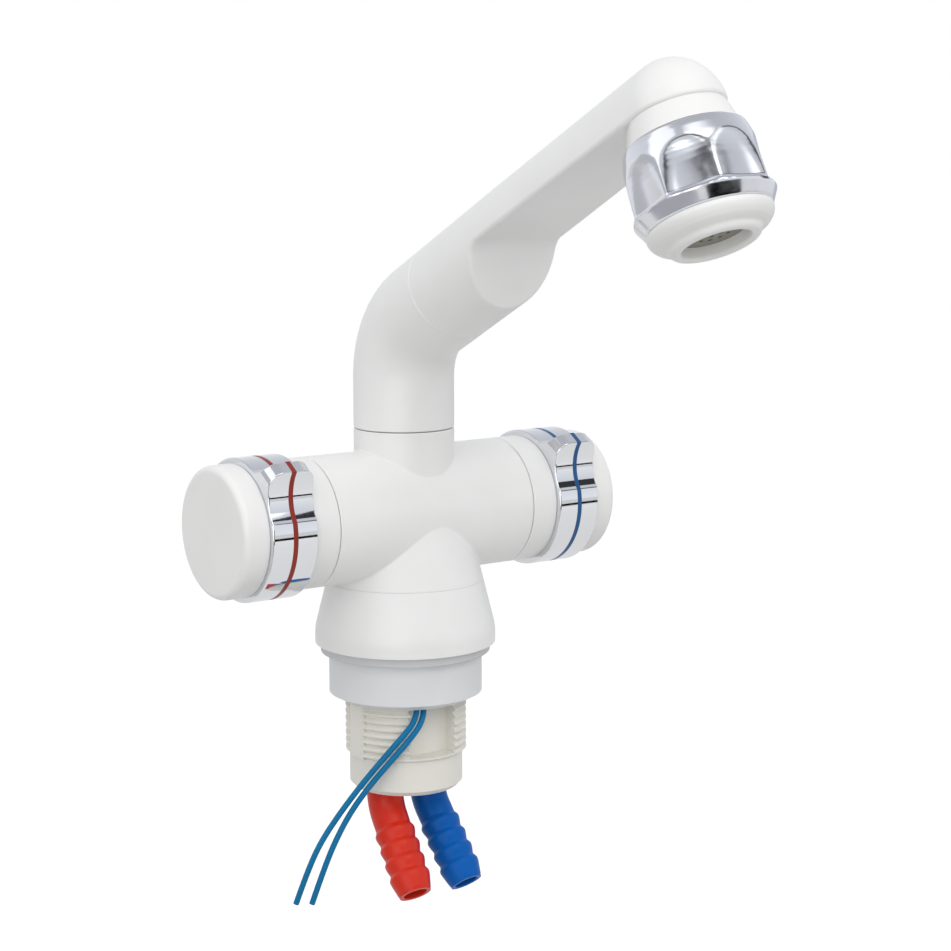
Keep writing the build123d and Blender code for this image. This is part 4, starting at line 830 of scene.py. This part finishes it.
# Floor: its width in metres, the size of its grain in millimetres, and its board's darkest and palest tone
FLOOR_SIZE, FLOOR_GRAIN = 6.0, 3
FLOOR_DARKEST, FLOOR_PALEST = 0.48, 0.52


def lay_floor(context):
    """A pale floor that keeps the tap's shadow."""
    stage = context.scene.tap_stage
    bpy.ops.mesh.primitive_plane_add(size=FLOOR_SIZE, location=(0.0, 0.0, stage.floor_height))
    floor = context.active_object
    floor.name = "floor"
    # White board, matt: white where the camera sees it, and grey only in the shadow
    material, tree, place, shader = new_material("card_white_matt")
    grain = add_node(tree, "ShaderNodeTexNoise", {"Scale": 1 / (FLOOR_GRAIN * MM)}, {"Vector": place})
    tone = add_node(
        tree,
        "ShaderNodeMapRange",
        {"To Min": FLOOR_DARKEST, "To Max": FLOOR_PALEST},
        {"Value": grain.outputs["Fac"]},
    )
    path = add_node(tree, "ShaderNodeLightPath")
    glint = add_node(
        tree,
        "ShaderNodeMath",
        {1: stage.floor_glint},
        {0: path.outputs["Is Glossy Ray"]},
        operation="MULTIPLY",
    )
    seen = add_node(
        tree,
        "ShaderNodeMath",
        {1: stage.floor_lift},
        {0: path.outputs["Is Camera Ray"]},
        operation="MULTIPLY",
    )
    lift = add_node(
        tree, "ShaderNodeMath", links={0: glint.outputs[0], 1: seen.outputs[0]}, operation="ADD"
    )
    tree.links.new(tone.outputs["Result"], shader.inputs["Base Color"])
    tree.links.new(lift.outputs[0], shader.inputs["Emission Strength"])
    shader.inputs["Emission Color"].default_value = (1.0, 1.0, 1.0, 1.0)
    shader.inputs["Roughness"].default_value = 0.9
    shader.inputs["Specular IOR Level"].default_value = 0.1
    floor.data.materials.append(material)


# Lamps: place and width in metres, tint, and whether the chrome shows them. All point at one spot
LAMPS = {
    "key": ((-0.25, -0.85, 1.0), 1.0, (1.0, 1.0, 0.99), True),
    "fill": ((-0.85, -0.6, 0.12), 0.8, (1.0, 1.0, 1.0), True),
    "head": ((0.15, -0.65, 0.6), 0.5, (1.0, 1.0, 1.0), True),
    "arm": ((-0.7, 0.15, 0.7), 0.6, (1.0, 1.0, 1.0), True),
    "right": ((0.6, -0.75, 0.08), 0.6, (0.98, 0.99, 1.0), False),
}
LAMP_AIM = (0.0, -0.03, 0.04)


def hang_lamps(context):
    """The soft lamps, each with its power from the stage's settings."""
    for name, (place, size, tint, shown) in LAMPS.items():
        lamp = bpy.data.lights.new(name + "_lamp", "AREA")
        lamp.size = size
        lamp.energy = getattr(context.scene.tap_stage, name + "_power")
        lamp.color = tint
        holder = bpy.data.objects.new(name + "_lamp", lamp)
        context.collection.objects.link(holder)
        holder.location = place
        holder.visible_glossy = shown
        holder.rotation_euler = (Vector(LAMP_AIM) - Vector(place)).to_track_quat("-Z", "Y").to_euler()


class TAP_OT_stage(bpy.types.Operator):
    """Set the camera, the floor and the studio light"""

    bl_idname = "tap.stage"
    bl_label = "Stage"

    def execute(self, context):
        set_camera(context)
        set_world(context)
        lay_floor(context)
        for card in CARDS:
            reflected_card(*card)
        hang_lamps(context)
        return {"FINISHED"}


class TAP_PT_panel(bpy.types.Panel):
    """Buttons that make the tap"""

    bl_label = "Tap"
    bl_idname = "TAP_PT_panel"
    bl_space_type = "VIEW_3D"
    bl_region_type = "UI"
    bl_category = "Tap"

    def draw(self, context):
        for settings in ("tap_colours", "tap_sizes", "tap_stage"):
            group = getattr(context.scene, settings)
            for name in group.bl_rna.properties.keys():
                if name not in ("rna_type", "name"):
                    self.layout.prop(group, name)
        for operator in OPERATORS:
            self.layout.operator(operator.bl_idname)


OPERATORS = (
    TAP_OT_stage,
    TAP_OT_wires,
    TAP_OT_body,
    TAP_OT_base,
    TAP_OT_tails,
    TAP_OT_chrome,
    TAP_OT_spray_ring,
    TAP_OT_nozzle,
    TAP_OT_inner,
)
CLASSES = (TapColours, TapSizes, TapStage) + OPERATORS + (TAP_PT_panel,)


def register():
    for item in CLASSES:
        bpy.utils.register_class(item)
    bpy.types.Scene.tap_colours = bpy.props.PointerProperty(type=TapColours)
    bpy.types.Scene.tap_sizes = bpy.props.PointerProperty(type=TapSizes)
    bpy.types.Scene.tap_stage = bpy.props.PointerProperty(type=TapStage)


def unregister():
    del bpy.types.Scene.tap_colours
    del bpy.types.Scene.tap_sizes
    del bpy.types.Scene.tap_stage
    for item in reversed(CLASSES):
        bpy.utils.unregister_class(item)


def main():
    register()
    bpy.ops.tap.stage()
    bpy.ops.tap.wires()
    bpy.ops.tap.body()
    bpy.ops.tap.base()
    bpy.ops.tap.tails()
    bpy.ops.tap.chrome()
    bpy.ops.tap.spray_ring()
    bpy.ops.tap.nozzle()
    bpy.ops.tap.inner()


if __name__ == "__main__":
    main()
